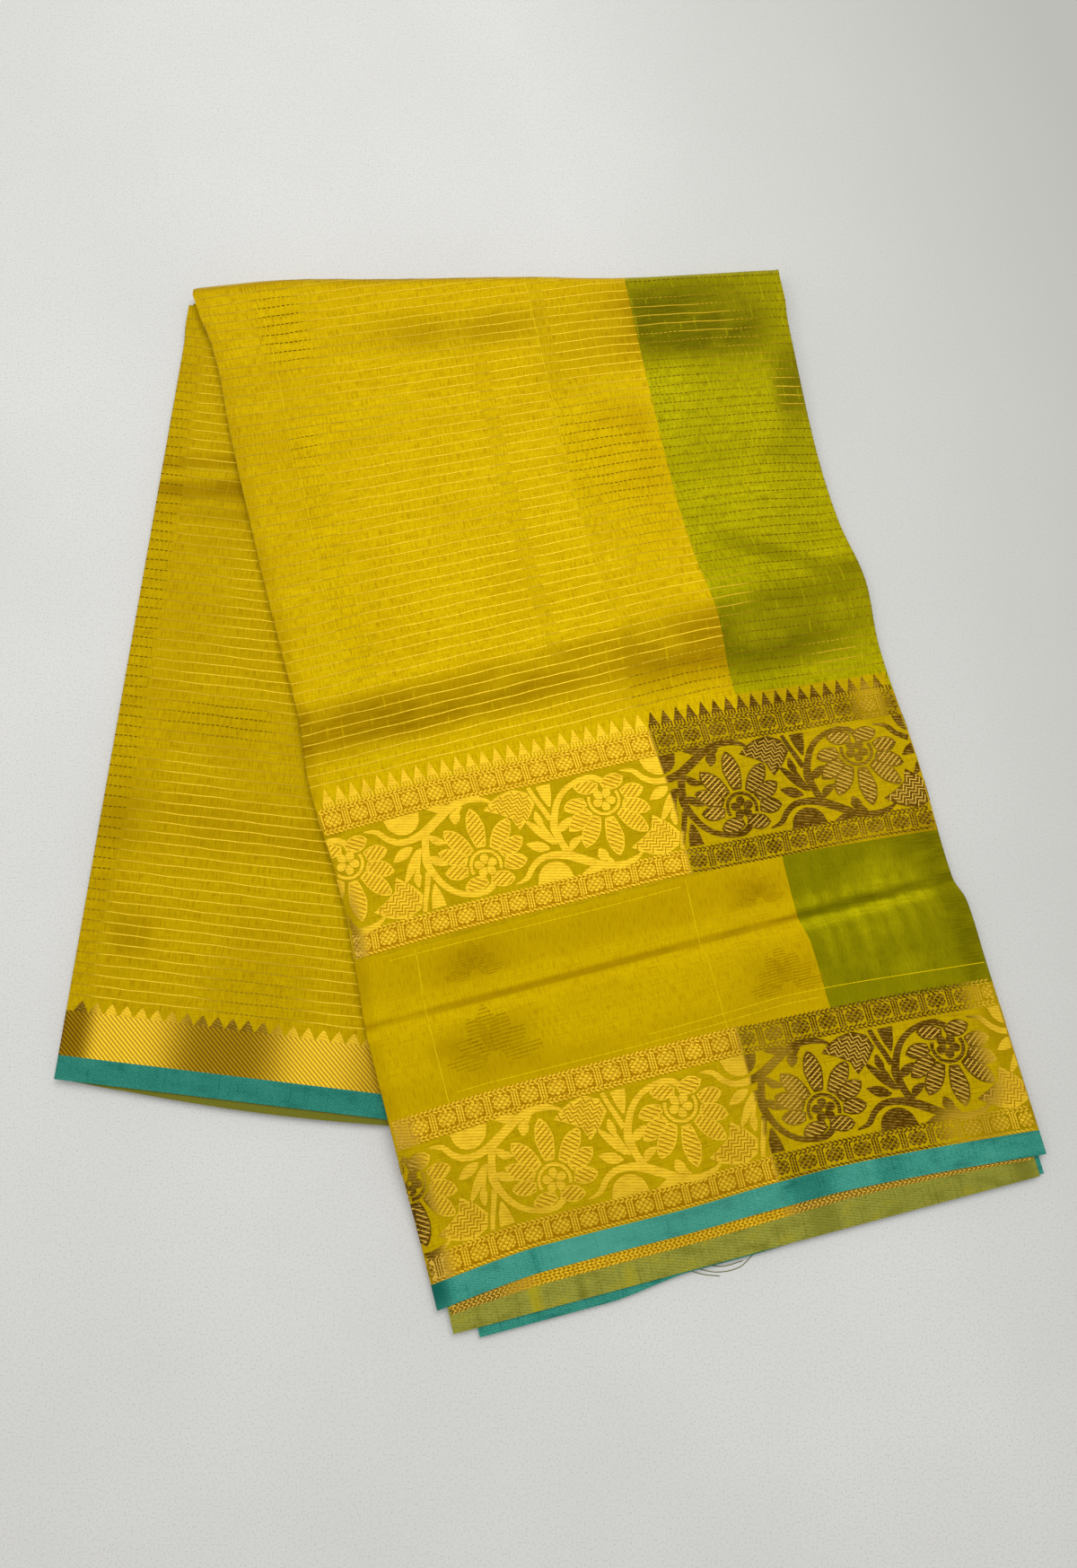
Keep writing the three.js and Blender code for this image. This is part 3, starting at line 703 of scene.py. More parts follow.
ZARI_PALE = colour(222, 180, 70)
LINE_BRIGHT = colour(244, 205, 50)
LINE_SHADE = colour(206, 164, 20)
LINE_DARK = colour(98, 72, 4)
LINE_PALE = colour(170, 140, 30)
STRIPE_BRIGHT = colour(255, 206, 50)
STRIPE_DARK = colour(150, 112, 8)
STRIPE_LINE = colour(150, 120, 20)
TEAL = colour(64, 156, 136)
TEAL_DARK = colour(20, 96, 84)
TEAL_STREAK = colour(96, 180, 160)
OLIVE = colour(156, 156, 66)
OLIVE_DARK = colour(104, 104, 30)
OLIVE_STREAK = colour(184, 166, 8)
ZARI_EDGE = colour(190, 146, 24)
EDGE_SHADE = (0.45, 0.45, 0.45)
WHITE = (1, 1, 1)

field_yellow = silk("field_yellow_silk", YELLOW, YELLOW_DARK, YELLOW_LIGHT, YELLOW_SLUB)
field_green = silk("field_green_silk", GREEN, GREEN_DARK, GREEN_LIGHT, GREEN_SLUB)
back_yellow = silk("back_yellow_silk", BACK_YELLOW, YELLOW_DARK, BACK_LIGHT, BACK_SLUB)
shadow_thread = silk("shadow_thread_silk", SHADOW_THREAD, YELLOW_DARK, SHADOW_THREAD, YELLOW_DARK, ticks=0)
light_thread = silk("light_thread_silk", LIGHT_THREAD, YELLOW_SLUB, LIGHT_THREAD, YELLOW_LIGHT, ticks=0)
gold_ground = silk("gold_ground_silk", GOLD_GROUND, GOLD_GROUND_DARK, GOLD_GROUND_LIGHT,
                   GOLD_GROUND_DARK, ticks=0)
brown_ground = silk("brown_ground_silk", BROWN_GROUND, BROWN_GROUND_DARK, BROWN_GROUND_LIGHT,
                    BROWN_GROUND_DARK, ticks=0)
band_yellow = silk("band_yellow_silk", BAND, YELLOW_DARK, YELLOW, YELLOW_SLUB, ticks=0, grain=0.6)
band_green = silk("band_green_silk", BAND_GREEN, GREEN_DARK, GREEN_LIGHT, GREEN_SLUB, ticks=0, grain=0.6)
teal_twill = twill("teal_twill", TEAL, TEAL_DARK, TEAL_STREAK, -24, 1.25)
olive_twill = twill("olive_twill", OLIVE, OLIVE_DARK, OLIVE_STREAK, -18, 1.5)
figure_zari = zari("figure_zari", ZARI_BRIGHT, ZARI_DARK, ZARI_SHADE, ZARI_PALE, -15, 1.6)
line_zari = zari("line_zari", LINE_BRIGHT, LINE_DARK, LINE_SHADE, LINE_PALE, 90, 4.2)
stripe_zari = striped_zari("stripe_zari", STRIPE_BRIGHT, STRIPE_DARK, STRIPE_LINE)


def layered_edges():
    """The edges of the hidden layers: each woven zone's colour, by its distance from the hem."""
    shader = Shader("layer_edges", roughness=0.6, tint=YELLOW)
    place = shader.node("ShaderNodeSeparateXYZ", [(0, shader.weave)]).outputs
    threads = shader.noise(3, 0.8, 3.0)
    is_front = shader.value("is_front")

    def past(axis, edge):
        return shader.between(place[axis], edge * MM, (edge + 1) * MM)

    def below(edge, fade=1.0):
        return shader.between(place["Y"], (edge + fade) * MM, edge * MM)

    upper = shader.math("MULTIPLY", past("Y", PLAIN_BAND_TOP), below(UPPER_BORDER_TOP))
    upper = shader.math("MULTIPLY", upper, is_front)
    lower = shader.math("MULTIPLY", below(LOWER_BORDER_TOP), is_front)
    lower = shader.math("MAXIMUM", lower, below(BACK_BORDER_TOP))
    green = shader.math("MULTIPLY", past("X", COLOUR_CHANGE), is_front)
    ground = shader.mix(green, YELLOW_SLUB, GREEN_SLUB)
    ground = shader.mix(shader.math("MAXIMUM", lower, upper), ground, ZARI_EDGE)
    ground = shader.mix(below(SELVEDGE, 0.5), ground, TEAL)
    ground = shader.mix(1.0, ground, shader.mix(threads, EDGE_SHADE, WHITE), "MULTIPLY")
    return shader.finish(ground, threads, 0.4, 0.2)


layer_edges = layered_edges()


# Hidden layers: slabs of folded cloth, fine at their rounded edges, joined round the top fold

SLAB_THICK = 0.8
SLAB_STATIONS = np.linspace(0, 1, 19)
SLAB_ARC = np.linspace(math.pi / 2, -math.pi / 2, 7)[1:-1]
SLAB_STEP = 5.0
FIELD_ROWS = 60
ROUND_ROWS = 11
BACK_SLAB_GAP = 1
BELOW_HEM_INSET = {"left": 6.4, "right": 4.6}
BELOW_HEM_EASE = (4, -1)
WANDER_LENGTHS = (17, 41, 97)
INSET_LEAST = 0.3
INSET_MOST = {"left": 2.4, "right": 2.6}
BACK_SEED = 10
RIGHT_SEED = 20

# Each layer's middle height and where it starts, from the hem of the top layer
FRONT_LAYERS = [(5.15, 47.5), (4.25, 47.5), (3.35, 47.5), (2.4, -11.2), (1.5, -14.7), (0.6, -18)]
BACK_LAYERS = [(5.4, 30.3), (4.45, 30.3), (3.5, 3.4), (2.55, 2.4), (1.6, 1.2), (0.6, 1.2)]


def slab_sections(left, right):
    """A closed rounded section for each row's insets: places across the strip, and offsets."""
    radius = SLAB_THICK / 2
    left, right = left[:, None], right[:, None]
    top = left + (STRIP_WIDTH - left - right) * SLAB_STATIONS
    bulge, rise = radius * np.cos(SLAB_ARC), radius * np.sin(SLAB_ARC)
    u = np.concatenate([top, top[:, -1:] + bulge, top[:, ::-1], top[:, :1] - bulge[::-1]], 1)
    flat = np.full(len(SLAB_STATIONS), radius)
    return u, np.concatenate([flat, rise, -flat, rise[::-1]])


def slab_rows(half, u, plain):
    """Distances from the hem of a layer's rows: plain ones, those of the field, and those round the fold."""
    low, field, over = np.split(u, [len(plain), len(plain) + FIELD_ROWS])
    plain = plain[:, None]
    base = half.field_base + half.drop(field, half.field_base)
    gap = BACK_SLAB_GAP if half is back else 0
    share = np.linspace(0, 1, FIELD_ROWS)[:, None]
    angles = np.linspace(0, math.pi, len(over) + 1)[1:, None]
    return np.concatenate([
        plain + half.drop(low, plain),
        base + (half.reach_fold(field, FOLD_RADIUS + gap) - base) * share,
        half.reach_fold(over, FOLD_RADIUS) + angles * FOLD_RADIUS / half.strip.slant,
    ])


def loop_faces(rows, size, start):
    """Faces of a closed bar: rings of size points, one a row, and an end face at each end."""
    first = np.arange(rows - 1)[:, None] * size
    here, there = np.arange(size), (np.arange(size) + 1) % size
    quads = np.stack([first + here, first + there, first + size + there, first + size + here], -1)
    faces = (quads.reshape(-1, 4)[:, ::-1] + start).tolist()
    faces.append((start + here).tolist())
    faces.append((start + (rows - 1) * size + here[::-1]).tolist())
    return faces


def wander(rows, seed, least, most):
    """An edge that wanders in and out along the strip."""
    random = np.random.default_rng(seed)
    shifts = random.uniform(0, 2 * math.pi, 3)
    waves = sum(np.sin(rows / length + shift) for length, shift in zip(WANDER_LENGTHS, shifts)) / 3
    return least + (most - least) * (0.5 + 0.5 * waves)


def hidden_layers():
    """Points, woven coordinates and faces of all slabs, and which points lie in the front half."""
    points, weave, faces, on_front, count = [], [], [], [], 0
    for half, layers, first_seed in ((front, FRONT_LAYERS, 0), (back, BACK_LAYERS, BACK_SEED)):
        for seed, (middle, start) in enumerate(layers, first_seed):
            plain = np.arange(start, half.field_base, SLAB_STEP)
            rows = len(plain) + FIELD_ROWS + (ROUND_ROWS if half is front else 0)
            along = np.arange(rows) * SLAB_STEP
            left = wander(along, seed, INSET_LEAST, INSET_MOST["left"])
            right = wander(along, seed + RIGHT_SEED, INSET_LEAST, INSET_MOST["right"])
            if start < 0:
                below = np.zeros(rows)
                below[:len(plain)] = ease_between(plain, *BELOW_HEM_EASE)
                left = left + (BELOW_HEM_INSET["left"] - left) * below
                right = right + (BELOW_HEM_INSET["right"] - right) * below
            u, offset = slab_sections(left, right)
            y = slab_rows(half, u, plain)
            faces += loop_faces(rows, len(offset), count)
            points.append(surface(half, u, 0, y, middle, offset).reshape(-1, 3))
            weave.append(pairs(u, y - half.drop(u, y)).reshape(-1, 2))
            on_front.append(np.full(u.size, float(half is front)))
            count += u.size
    return np.concatenate(points), np.concatenate(weave), faces, np.concatenate(on_front)


layer_points, layer_weave, layer_faces, layer_front = hidden_layers()
inner_layers = add_piece("inner_layers", layer_points, layer_faces, layer_weave, "inner_layers", layer_edges,
                         is_front=layer_front)
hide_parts("hidden_layers")
layers_length = sum(FRONT_EDGE - start for _, start in FRONT_LAYERS)
layers_length += sum(BACK_EDGE - start for _, start in BACK_LAYERS)


# Top layers of both halves, zone by zone

def declare(length, node):
    """Hide the imported solid that a sheet stands for; the flat size, length, is not used."""
    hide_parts(node)


def zone(name, half, start, stop, low, high, slot, material, **values):
    """A woven zone of a half's top layer: start to stop across, low to high along or up to the fold."""
    columns = zone_columns(start, stop)
    u, turn = split_edge(columns)
    if high is None:
        rows = field_rows(half, u)
        length = float(np.mean(rows[-1] - rows[0]))
    else:
        rows = band_rows(half, u, low, high)
        length = high - low
    weave = pairs(columns, rows - half.drop(u, rows))
    tone = soft_places(BACK_PAINTED_LIGHT_AND_TONE if half is back else FRONT_PAINTED_LIGHT_AND_TONE, u, rows)
    values = {key: make(columns + 0 * rows, rows) for key, make in values.items()}
    piece = thin_sheet(name, half, u, turn, rows, weave, TOP_MIDDLE, slot, material, tone=tone, **values)
    declare(length, name)


# Across from and to, along from and to (a field runs up to the fold), slot and material
FRONT_ZONES = {
    "selvedge": (0, STRIP_WIDTH, 0, SELVEDGE, "teal_twill", teal_twill),
    "lower_border_gold": (0, ZARI_CHANGE, SELVEDGE, LOWER_BORDER_TOP, "bright_zari", gold_ground),
    "lower_border_brown": (ZARI_CHANGE, STRIP_WIDTH, SELVEDGE, LOWER_BORDER_TOP, "dark_zari", brown_ground),
    "upper_border_gold": (0, ZARI_CHANGE, PLAIN_BAND_TOP, UPPER_BORDER_TOP, "bright_zari", gold_ground),
    "upper_border_brown": (ZARI_CHANGE, STRIP_WIDTH, PLAIN_BAND_TOP, UPPER_BORDER_TOP, "dark_zari",
                           brown_ground),
    "plain_band_yellow": (0, COLOUR_CHANGE, LOWER_BORDER_TOP, PLAIN_BAND_TOP, "yellow_silk", band_yellow),
    "plain_band_green": (COLOUR_CHANGE, STRIP_WIDTH, LOWER_BORDER_TOP, PLAIN_BAND_TOP, "green_silk",
                         band_green),
    "field_yellow": (0, COLOUR_CHANGE, UPPER_BORDER_TOP, None, "yellow_silk", field_yellow),
    "field_green": (COLOUR_CHANGE, STRIP_WIDTH, UPPER_BORDER_TOP, None, "green_silk", field_green),
}
for zone_name, settings in FRONT_ZONES.items():
    zone("front_" + zone_name, front, *settings)


# Lower layers that show below the hems

THIRD_HIDES = {"from": 170, "to": 235, "by": 1.9}


def second_reach(u):
    return SECOND_HEM["reach"] + 0 * u


def third_reach(u):
    step = ease_between(u, THIRD_HEM["step_from"], THIRD_HEM["step_to"])
    hidden = THIRD_HIDES["by"] * ease_between(u, THIRD_HIDES["from"], THIRD_HIDES["to"])
    return THIRD_HEM["reach"] + (THIRD_HEM["short_reach"] - THIRD_HEM["reach"]) * step - hidden


def lower_sheet(name, half, left, right, reach, tuck, depth, slot, material, tone=0.0, places=()):
    """A sheet some layers down that starts reach below the hem and runs in under the others."""
    u = spread(left, STRIP_WIDTH - right)
    share = np.linspace(0, 1, math.ceil((np.max(reach(u)) + tuck) / GRID_STEP))[:, None]
    plain = -reach(u) + (tuck + reach(u)) * share
    tones = np.clip(soft_places(places, u, plain) + tone, -1, 1)
    piece = thin_sheet(name, half, u, 0, plain + half.drop(u, plain), pairs(u, plain),
                       TOP_MIDDLE - depth * LAYER_STEP, slot, material, tone=tones)
    declare(float(np.mean(reach(u))) + tuck, name)


lower_sheet("second_layer_hem", front, SECOND_HEM["left"], SECOND_HEM["right"], second_reach,
            SECOND_HEM["tuck"], 1, "olive_twill", olive_twill, places=HEM_TONES)
lower_sheet("third_layer_hem", front, THIRD_HEM["left"], THIRD_HEM["right"], third_reach,
            SECOND_HEM["tuck"], 2, "teal_twill", teal_twill, tone=-0.15)


# Top layer of the back half, and the layer that bulges out below its hem

# Where the back border's metal thread is painted dark, without its sheen: x, y, half width, half height,
# tilt, amount
BACK_DARK_PLACES = [(5, 25, 12, 40, 0.3, 1.0), (92, 25, 34, 60, 0.35, 0.9), (205, 25, 40, 60, 0, 0.7)]
BORDER_LINES = (26.0, 36.6)
BORDER_LINE_WIDTH = 0.9


def back_shine(x, y):
    return np.clip(1 - soft_places(BACK_DARK_PLACES, x, y), 0, 1)


def border_line(x, y):
    return sum(np.clip(1 - np.abs(y - at) / BORDER_LINE_WIDTH, 0, 1) for at in BORDER_LINES)


zone("back_selvedge", back, 0, STRIP_WIDTH, 0, SELVEDGE, "teal_twill", teal_twill)
zone("back_border", back, 0, STRIP_WIDTH, SELVEDGE, BACK_BORDER_TOP, "bright_zari", stripe_zari,
     shine=back_shine, lines=border_line)
zone("back_field", back, 0, STRIP_WIDTH, BACK_BORDER_TOP, None, "yellow_silk", back_yellow)

SLIVER_LEFT = 10
BULGE = {"start": 0.12, "share": 0.76, "tip": 2}


def lower_bulge(u):
    """The reach of the layer below the back hem, which tapers off to the left."""
    width = STRIP_WIDTH - LOWER_LAYER["right"] - LOWER_LAYER["left"]
    part = np.clip((u - LOWER_LAYER["left"]) / width, 0, 1)
    arch = LOWER_LAYER["reach"] * np.sin(math.pi * (BULGE["start"] + BULGE["share"] * part))
    return arch * ease_between(u, BULGE["tip"], LOWER_LAYER["left"])


lower_sheet("back_lower_layer", back, SLIVER_LEFT, LOWER_LAYER["right"], lower_bulge, LOWER_LAYER["tuck"], 1,
            "olive_twill", olive_twill, tone=-0.8)


# Woven figures: flat faces of metal thread that lie on the cloth

FIGURE_LIFT = 0.14
LEVEL_STEP = 0.006
MARK_LEVEL = 0.5
LINE_LIFT = 0.12
EDGE_REACH = TURN_LENGTH - OUTER_TURN - 0.05
FILL_COLUMN = 1.3
FILL_LENGTH = 3.0
FILL_MARGIN = 0.03
HATCH_LENGTH = 2.5
HATCH_MARGIN = {"low": 0.1, "high": 0.05}


def smooth_path(points, step):
    """A smooth path through points, sampled about every step."""
    points = np.array(points, float)
    at = np.concatenate([[0], np.cumsum(np.hypot(*np.diff(points, axis=0).T))])
    table = np.column_stack([at, points])
    along = np.linspace(0, at[-1], max(3, math.ceil(at[-1] / step) + 1))
    return np.stack([read_table(table, along, 1), read_table(table, along, 2)], -1)


def left_of(path):
    """Unit vectors square to a path, to its left."""
    along = np.gradient(path, axis=0)
    along /= np.hypot(along[:, 0], along[:, 1])[:, None]
    return np.stack([-along[:, 1], along[:, 0]], -1)


def along_path(path, values):
    """Evenly spaced values, one for each point of a path."""
    return np.interp(np.linspace(0, 1, len(path)), np.linspace(0, 1, len(values)), values)


def turned(points, turn):
    """Points as seen in axes turned by an angle."""
    cos, sin = math.cos(turn), math.sin(turn)
    x, y = np.array(points, float).T
    return np.stack([x * cos + y * sin, y * cos - x * sin], -1)


def crossings(outline, axis, value):
    """Where an outline crosses the line at a value of one axis, in order along the other."""
    at, other = outline[:, axis], outline[:, 1 - axis]
    next_at, next_other = np.roll(at, -1), np.roll(other, -1)
    cut = (at - value) * (next_at - value) < 0
    share = (value - at[cut]) / (next_at[cut] - at[cut])
    return np.sort(other[cut] + share * (next_other[cut] - other[cut]))


class Figure:
    """Shapes in strip distances: x from the left edge, y from the hem."""

    def __init__(self, level=0, stroke=0.0):
        self.points, self.faces = [], []
        self.levels, self.strokes = [], []
        self.stroke = stroke
        self.move_to(0, 0)
        self.level = level

    def move_to(self, x, y, scale=1.0, flip=1):
        self.level = 0
        self.place = lambda points: np.array(points, float) * (scale, scale * flip) + (x, y)

    def strip(self, first, second, kept=None):
        """Faces between two rows of points, all of them or the kept ones."""
        start, count = len(self.points), len(first)
        for row in (first, second):
            self.points += [tuple(point) for point in self.place(row)]
        self.levels += [self.level] * 2 * count
        self.strokes += [self.stroke] * 2 * count
        for i in range(count - 1):
            if kept is None or kept[i]:
                self.faces.append((start + i, start + i + 1, start + count + i + 1, start + count + i))

    def sheet(self, x, levels):
        """Rows of faces from level to level."""
        for low, high in zip(levels[:-1], levels[1:]):
            self.strip(pairs(x, low), pairs(x, high))

    def fill(self, outline):
        """A solid shape in narrow columns of short faces."""
        self.level += 1
        outline = np.array(outline, float)
        left, right = outline[:, 0].min() + FILL_MARGIN, outline[:, 0].max() - FILL_MARGIN
        edges = spread(left, right, FILL_COLUMN)
        for x, next_x in zip(edges[:-1], edges[1:]):
            low, high = crossings(outline, 0, x), crossings(outline, 0, next_x)
            if len(low) != len(high):
                low = high = crossings(outline, 0, (x + next_x) / 2)
            for k in range(0, len(low) - 1, 2):
                longest = max(low[k + 1] - low[k], high[k + 1] - high[k])
                part = np.linspace(0, 1, math.ceil(longest / FILL_LENGTH) + 1)
                self.strip(pairs(x, low[k] + (low[k + 1] - low[k]) * part),
                           pairs(next_x, high[k] + (high[k + 1] - high[k]) * part))

    def settle(self, base, rows):
        """Turn heights in a border into distances from the hem, along its uneven rows."""
        points = np.array(self.points)
        low, high = (read_table(rows, points[:, 0], column) for column in (1, 2))
        points[:, 1] += base + low + (high - low) * points[:, 1] / BORDER_HEIGHT
        self.points = points.tolist()

    def ribbon(self, path, widths, step=1.8):
        """A line through points, as wide at evenly spaced places as its widths say."""
        self.level += 1
        path = smooth_path(path, step)
        side = left_of(path) * along_path(path, widths)[:, None] / 2
        self.strip(path - side, path + side)

    def bar(self, x, y, length, height, turn):
        """One straight mark about its middle."""
        reach = np.array([math.cos(turn), math.sin(turn)]) * length / 2
        low = np.array([(x, y - height / 2)]) + np.array([-reach, reach])
        self.strip(low, low + (0, height))

    def hatch(self, outline, turn, pitch, share):
        """Parallel bars that fill an outline, with the ground showing between them."""
        outline = turned(outline, turn)
        bottom, top = outline[:, 1].min(), outline[:, 1].max()
        for low in np.arange(bottom + HATCH_MARGIN["low"], top, pitch):
            levels = (low, min(low + pitch * share, top - HATCH_MARGIN["high"]))
            hits = [crossings(outline, 1, level) for level in levels]
            if min(len(found) for found in hits) < 2:
                continue
            count = max(2, math.ceil((hits[0][-1] - hits[0][0]) / HATCH_LENGTH) + 1)
            runs = [np.linspace(found[0], found[-1], count) for found in hits]
            self.strip(*[turned(pairs(run, level), -turn) for run, level in zip(runs, levels)])

    def zigzag(self, outline, turn, column, pitch, share, slope):
        """Zigzag bars inside an outline, which leaves it a saw-toothed edge."""
        outline = turned(outline, turn)
        thick = pitch * share
        for number, left in enumerate(np.arange(outline[:, 0].min(), outline[:, 0].max(), column)):
            rise = slope * column * (1 if number % 2 else -1)
            hits = crossings(outline, 0, left + column / 2)
            for start, stop in zip(hits[::2], hits[1::2]):
                first = math.ceil((start - thick / 2) / pitch) * pitch
                for level in np.arange(first, stop - thick / 2, pitch):
                    low = np.array([(left, level - rise / 2), (left + column, level + rise / 2)])
                    self.strip(turned(low, -turn), turned(low + (0, thick), -turn))


# The flower, about the middle of its rosette, with its tip upwards: each petal's base, tip, width and
# the turn of its strokes
PETALS = [
    ((0.8, -8.0), (14.8, -10.6), 9.2, 33),
    ((10.2, -1.2), (24.0, -1.6), 9.2, -40),
    ((9.7, 4.4), (24.6, 11.6), 9.4, -40),
    ((6.4, 8.4), (20.0, 24.0), 9.6, -40),
    ((0.0, 10.6), (0.3, 34.2), 10.2, 35),
    ((-6.4, 8.4), (-18.4, 25.0), 9.8, 33),
    ((-9.7, 4.4), (-24.6, 13.4), 9.4, 33),
    ((-10.2, -1.2), (-24.0, 0.6), 8.6, 33),
    ((-0.8, -8.0), (-14.8, -10.6), 8.6, -33),
]
COLLAR = {"radius": 8.6, "from": -24, "to": 204, "width": 1.9}
EYE_PETALS = 5
EYE_REACH = (1.0, 3.8, 6.7)
EYE_WIDTHS = (0.8, 3.4, 4.9, 4.9, 2.4)
STROKE_PITCH = 2.35
STROKE_SHARE = 0.28
STROKE_INSET = 0.84
ARC_STEPS = 28
SAW_STROKES = {"turn": math.radians(-30), "column": 2.6, "pitch": 2.5, "share": 0.3, "slope": 1.0}
SAW_INSET = 0.9
PETAL_SHAPE = np.array([
    (0, 0.5), (0.15, 0.74), (0.35, 0.96), (0.58, 1.0), (0.8, 0.74), (0.93, 0.36), (1, 0.03),
])


def petal_outline(base, tip, width):
    """A petal from its base to its tip, as wide along it as its shape says."""
    base, tip = np.array(base, float), np.array(tip, float)
    part = np.linspace(0, 1, 15)[:, None]
    along = (tip - base) / math.hypot(*(tip - base))
    side = np.array([-along[1], along[0]]) * width / 2 * read_table(PETAL_SHAPE, part[:, 0], 1)[:, None]
    spine = base + (tip - base) * part
    return np.concatenate([spine + side, (spine - side)[::-1]])


def leaf_outline(path, width):
    """A leaf about a curved middle line, as wide as its shares say."""
    path = smooth_path(path, 1.4)
    side = left_of(path) * along_path(path, LEAF_WIDTHS)[:, None] * width / 2
    return np.concatenate([path + side, (path - side)[::-1]])


def inset(outline, share):
    """An outline shrunk about its middle."""
    outline = np.array(outline, float)
    return outline.mean(0) + (outline - outline.mean(0)) * share


def arc(radius, start, stop):
    turns = np.radians(np.linspace(start, stop, ARC_STEPS))
    return np.stack([radius * np.cos(turns), radius * np.sin(turns)], -1)


def flower(figure):
    """Petals, a collar, and the small petals of the eye, with strokes on the large ones."""
    outlines = [petal_outline(base, tip, width) for base, tip, width, _ in PETALS]
    for outline in outlines:
        figure.fill(outline)
    figure.ribbon(arc(COLLAR["radius"], COLLAR["from"], COLLAR["to"]), [COLLAR["width"]])
    for bearing in np.radians(np.arange(EYE_PETALS) * 360 / EYE_PETALS + 90):
        path = [(reach * math.cos(bearing), reach * math.sin(bearing)) for reach in EYE_REACH]
        figure.ribbon(path, EYE_WIDTHS, 1.1)
    figure.level += 1
    figure.stroke = 1.0
    for outline, (_, _, _, turn) in zip(outlines, PETALS):
        figure.hatch(inset(outline, STROKE_INSET), math.radians(turn), STROKE_PITCH, STROKE_SHARE)
    figure.stroke = 0.0


# Stems and leaves about the same point: path, and widths from its start to its end
STEMS = [
    ([(-61.5, 36), (-54.5, 33.8), (-50, 28.5), (-44, 24.8), (-36, 24.6), (-28, 27), (-20, 31.5), (-10, 37),
      (0, 39.2), (9, 37.6), (14.5, 34)],
     (0.8, 3.2, 3.4, 3.8, 4.6, 5.2, 4.8, 4.2, 3.8, 3.2, 1.0)),
    ([(-28, 26), (-30.6, 18), (-32, 9), (-29.6, 1.5), (-25.6, -5.5), (-19.5, -11), (-11, -14.2), (-3, -14.4),
      (2, -11.4)],
     (4.4, 4.0, 5.0, 4.0, 3.6, 3.2, 3.2, 3.4, 3.6)),
    ([(-33, 4), (-35.4, -3.6), (-38, -11), (-39.6, -17)], (3.2, 3.0, 2.8, 2.4)),
    ([(-33.4, 18.5), (-36.8, 11), (-39.2, 4)], (1.8, 2.4, 2.4)),
    ([(-4.6, 37), (-6.4, 34.5), (-8.2, 32)], (3.2, 2.6, 3.0)),
]
LEAVES = [
    ([(-37.5, 20.4), (-44, 17.6), (-50.5, 14.6)], 6.2),
    ([(-35, 18.6), (-41.5, 8.6), (-48, 0)], 4.8),
    ([(-38, 7.5), (-39.6, 2.2), (-40, -3.5)], 4.8),
    ([(-7, 35), (-9.2, 31), (-10.6, 26.6)], 6.6),
    ([(-31, 12.4), (-26, 8.8), (-21, 5.2)], 5.2),
    ([(-27.4, 25), (-23.8, 20.6), (-17.5, 17.6)], 4.8),
    ([(-9, 37.4), (-16, 37.8), (-23.5, 39.2)], 4.6),
]
BELL = [(-31, -1.8), (-32.8, -6), (-34.8, -11), (-35.4, -16.6), (-26.8, -16.6), (-27.6, -11), (-29.4, -6)]
HALF_LEAF = {"x": -38.6, "y": 39.2, "wide": 10.4, "deep": 11.2}
SAW_LEAF = [(7.5, 31), (13, 35.3), (19, 38.1), (27, 39.5), (34.5, 36), (37, 28.5), (32, 22), (23.8, 15),
            (21.6, 22.9), (15.7, 26.9)]
LEAF_WIDTHS = (0.12, 0.62, 0.95, 1.0, 0.85, 0.5, 0.05)


def flower_unit(figure):
    """A flower with its stem and leaves."""
    for path, widths in STEMS:
        figure.ribbon(path, widths)
    for path, width in LEAVES:
        figure.fill(leaf_outline(path, width))
    figure.fill(BELL)
    half_leaf = arc(1, 180, 360) * (HALF_LEAF["wide"], HALF_LEAF["deep"]) + (HALF_LEAF["x"], HALF_LEAF["y"])
    figure.fill(half_leaf)
    figure.fill(SAW_LEAF)
    flower(figure)
    figure.stroke = 1.0
    figure.zigzag(inset(SAW_LEAF, SAW_INSET), **SAW_STROKES)
    figure.stroke = 0.0


# Layout of a figured border: heights from its lower edge
BORDER_HEIGHT = 87.0
CHAIN_LEVELS = (6.9, 79.6)
CHAIN_BAR = {"wide": 0.85, "high": 8.8}
BAR_SHIFTS = (-1.45, 0, 1.45)
ROPES = [{"level": 1.1, "rows": (-1,)}, {"level": 12.8, "rows": (1, -1)}, {"level": 73.3, "rows": (-1, 1)},
         {"level": 85.4, "rows": (-1, 1)}]
PLATES = ((0.1, 14.1), (71.5, 87.0))
PLATE_LEVEL = -8
PLATE_STEP = 1.5
ROPE_PITCH = 2.6
ROPE_STEP = 1.65
ROPE_MARK = {"long": 2.6, "high": 1.05, "slant": 26}
FLOWER_NUMBERS = range(-1, 6)
FLOWER_LEVELS = {1: 32.0, -1: 53.4}
ROSETTE_RIM = np.array([5.3, 4.5])
ROSETTE_CELL = 2.3
ROSETTE_REACH = 3
CELL_SHARES = {"gold": 0.58, "brown": 0.59}
TEMPLE_BASE = 87.2
TEMPLE_LEGS = (-2.7, -0.9, 0.9, 2.7)
LEG = {"wide": 1.1, "high": 3.2}
TEMPLE_TIERS = [(2.8, 6.0, 4.6), (4.8, 4.6, 3.0), (7.0, 3.0, 0.3)]
TEMPLE_TOP = 10.8

# Where the temple points stand: the number of each, and its place across the strip
TEMPLE_PLACES = {"number": (0, 25, 44), "x": (8.2, 201.2, 343.4)}

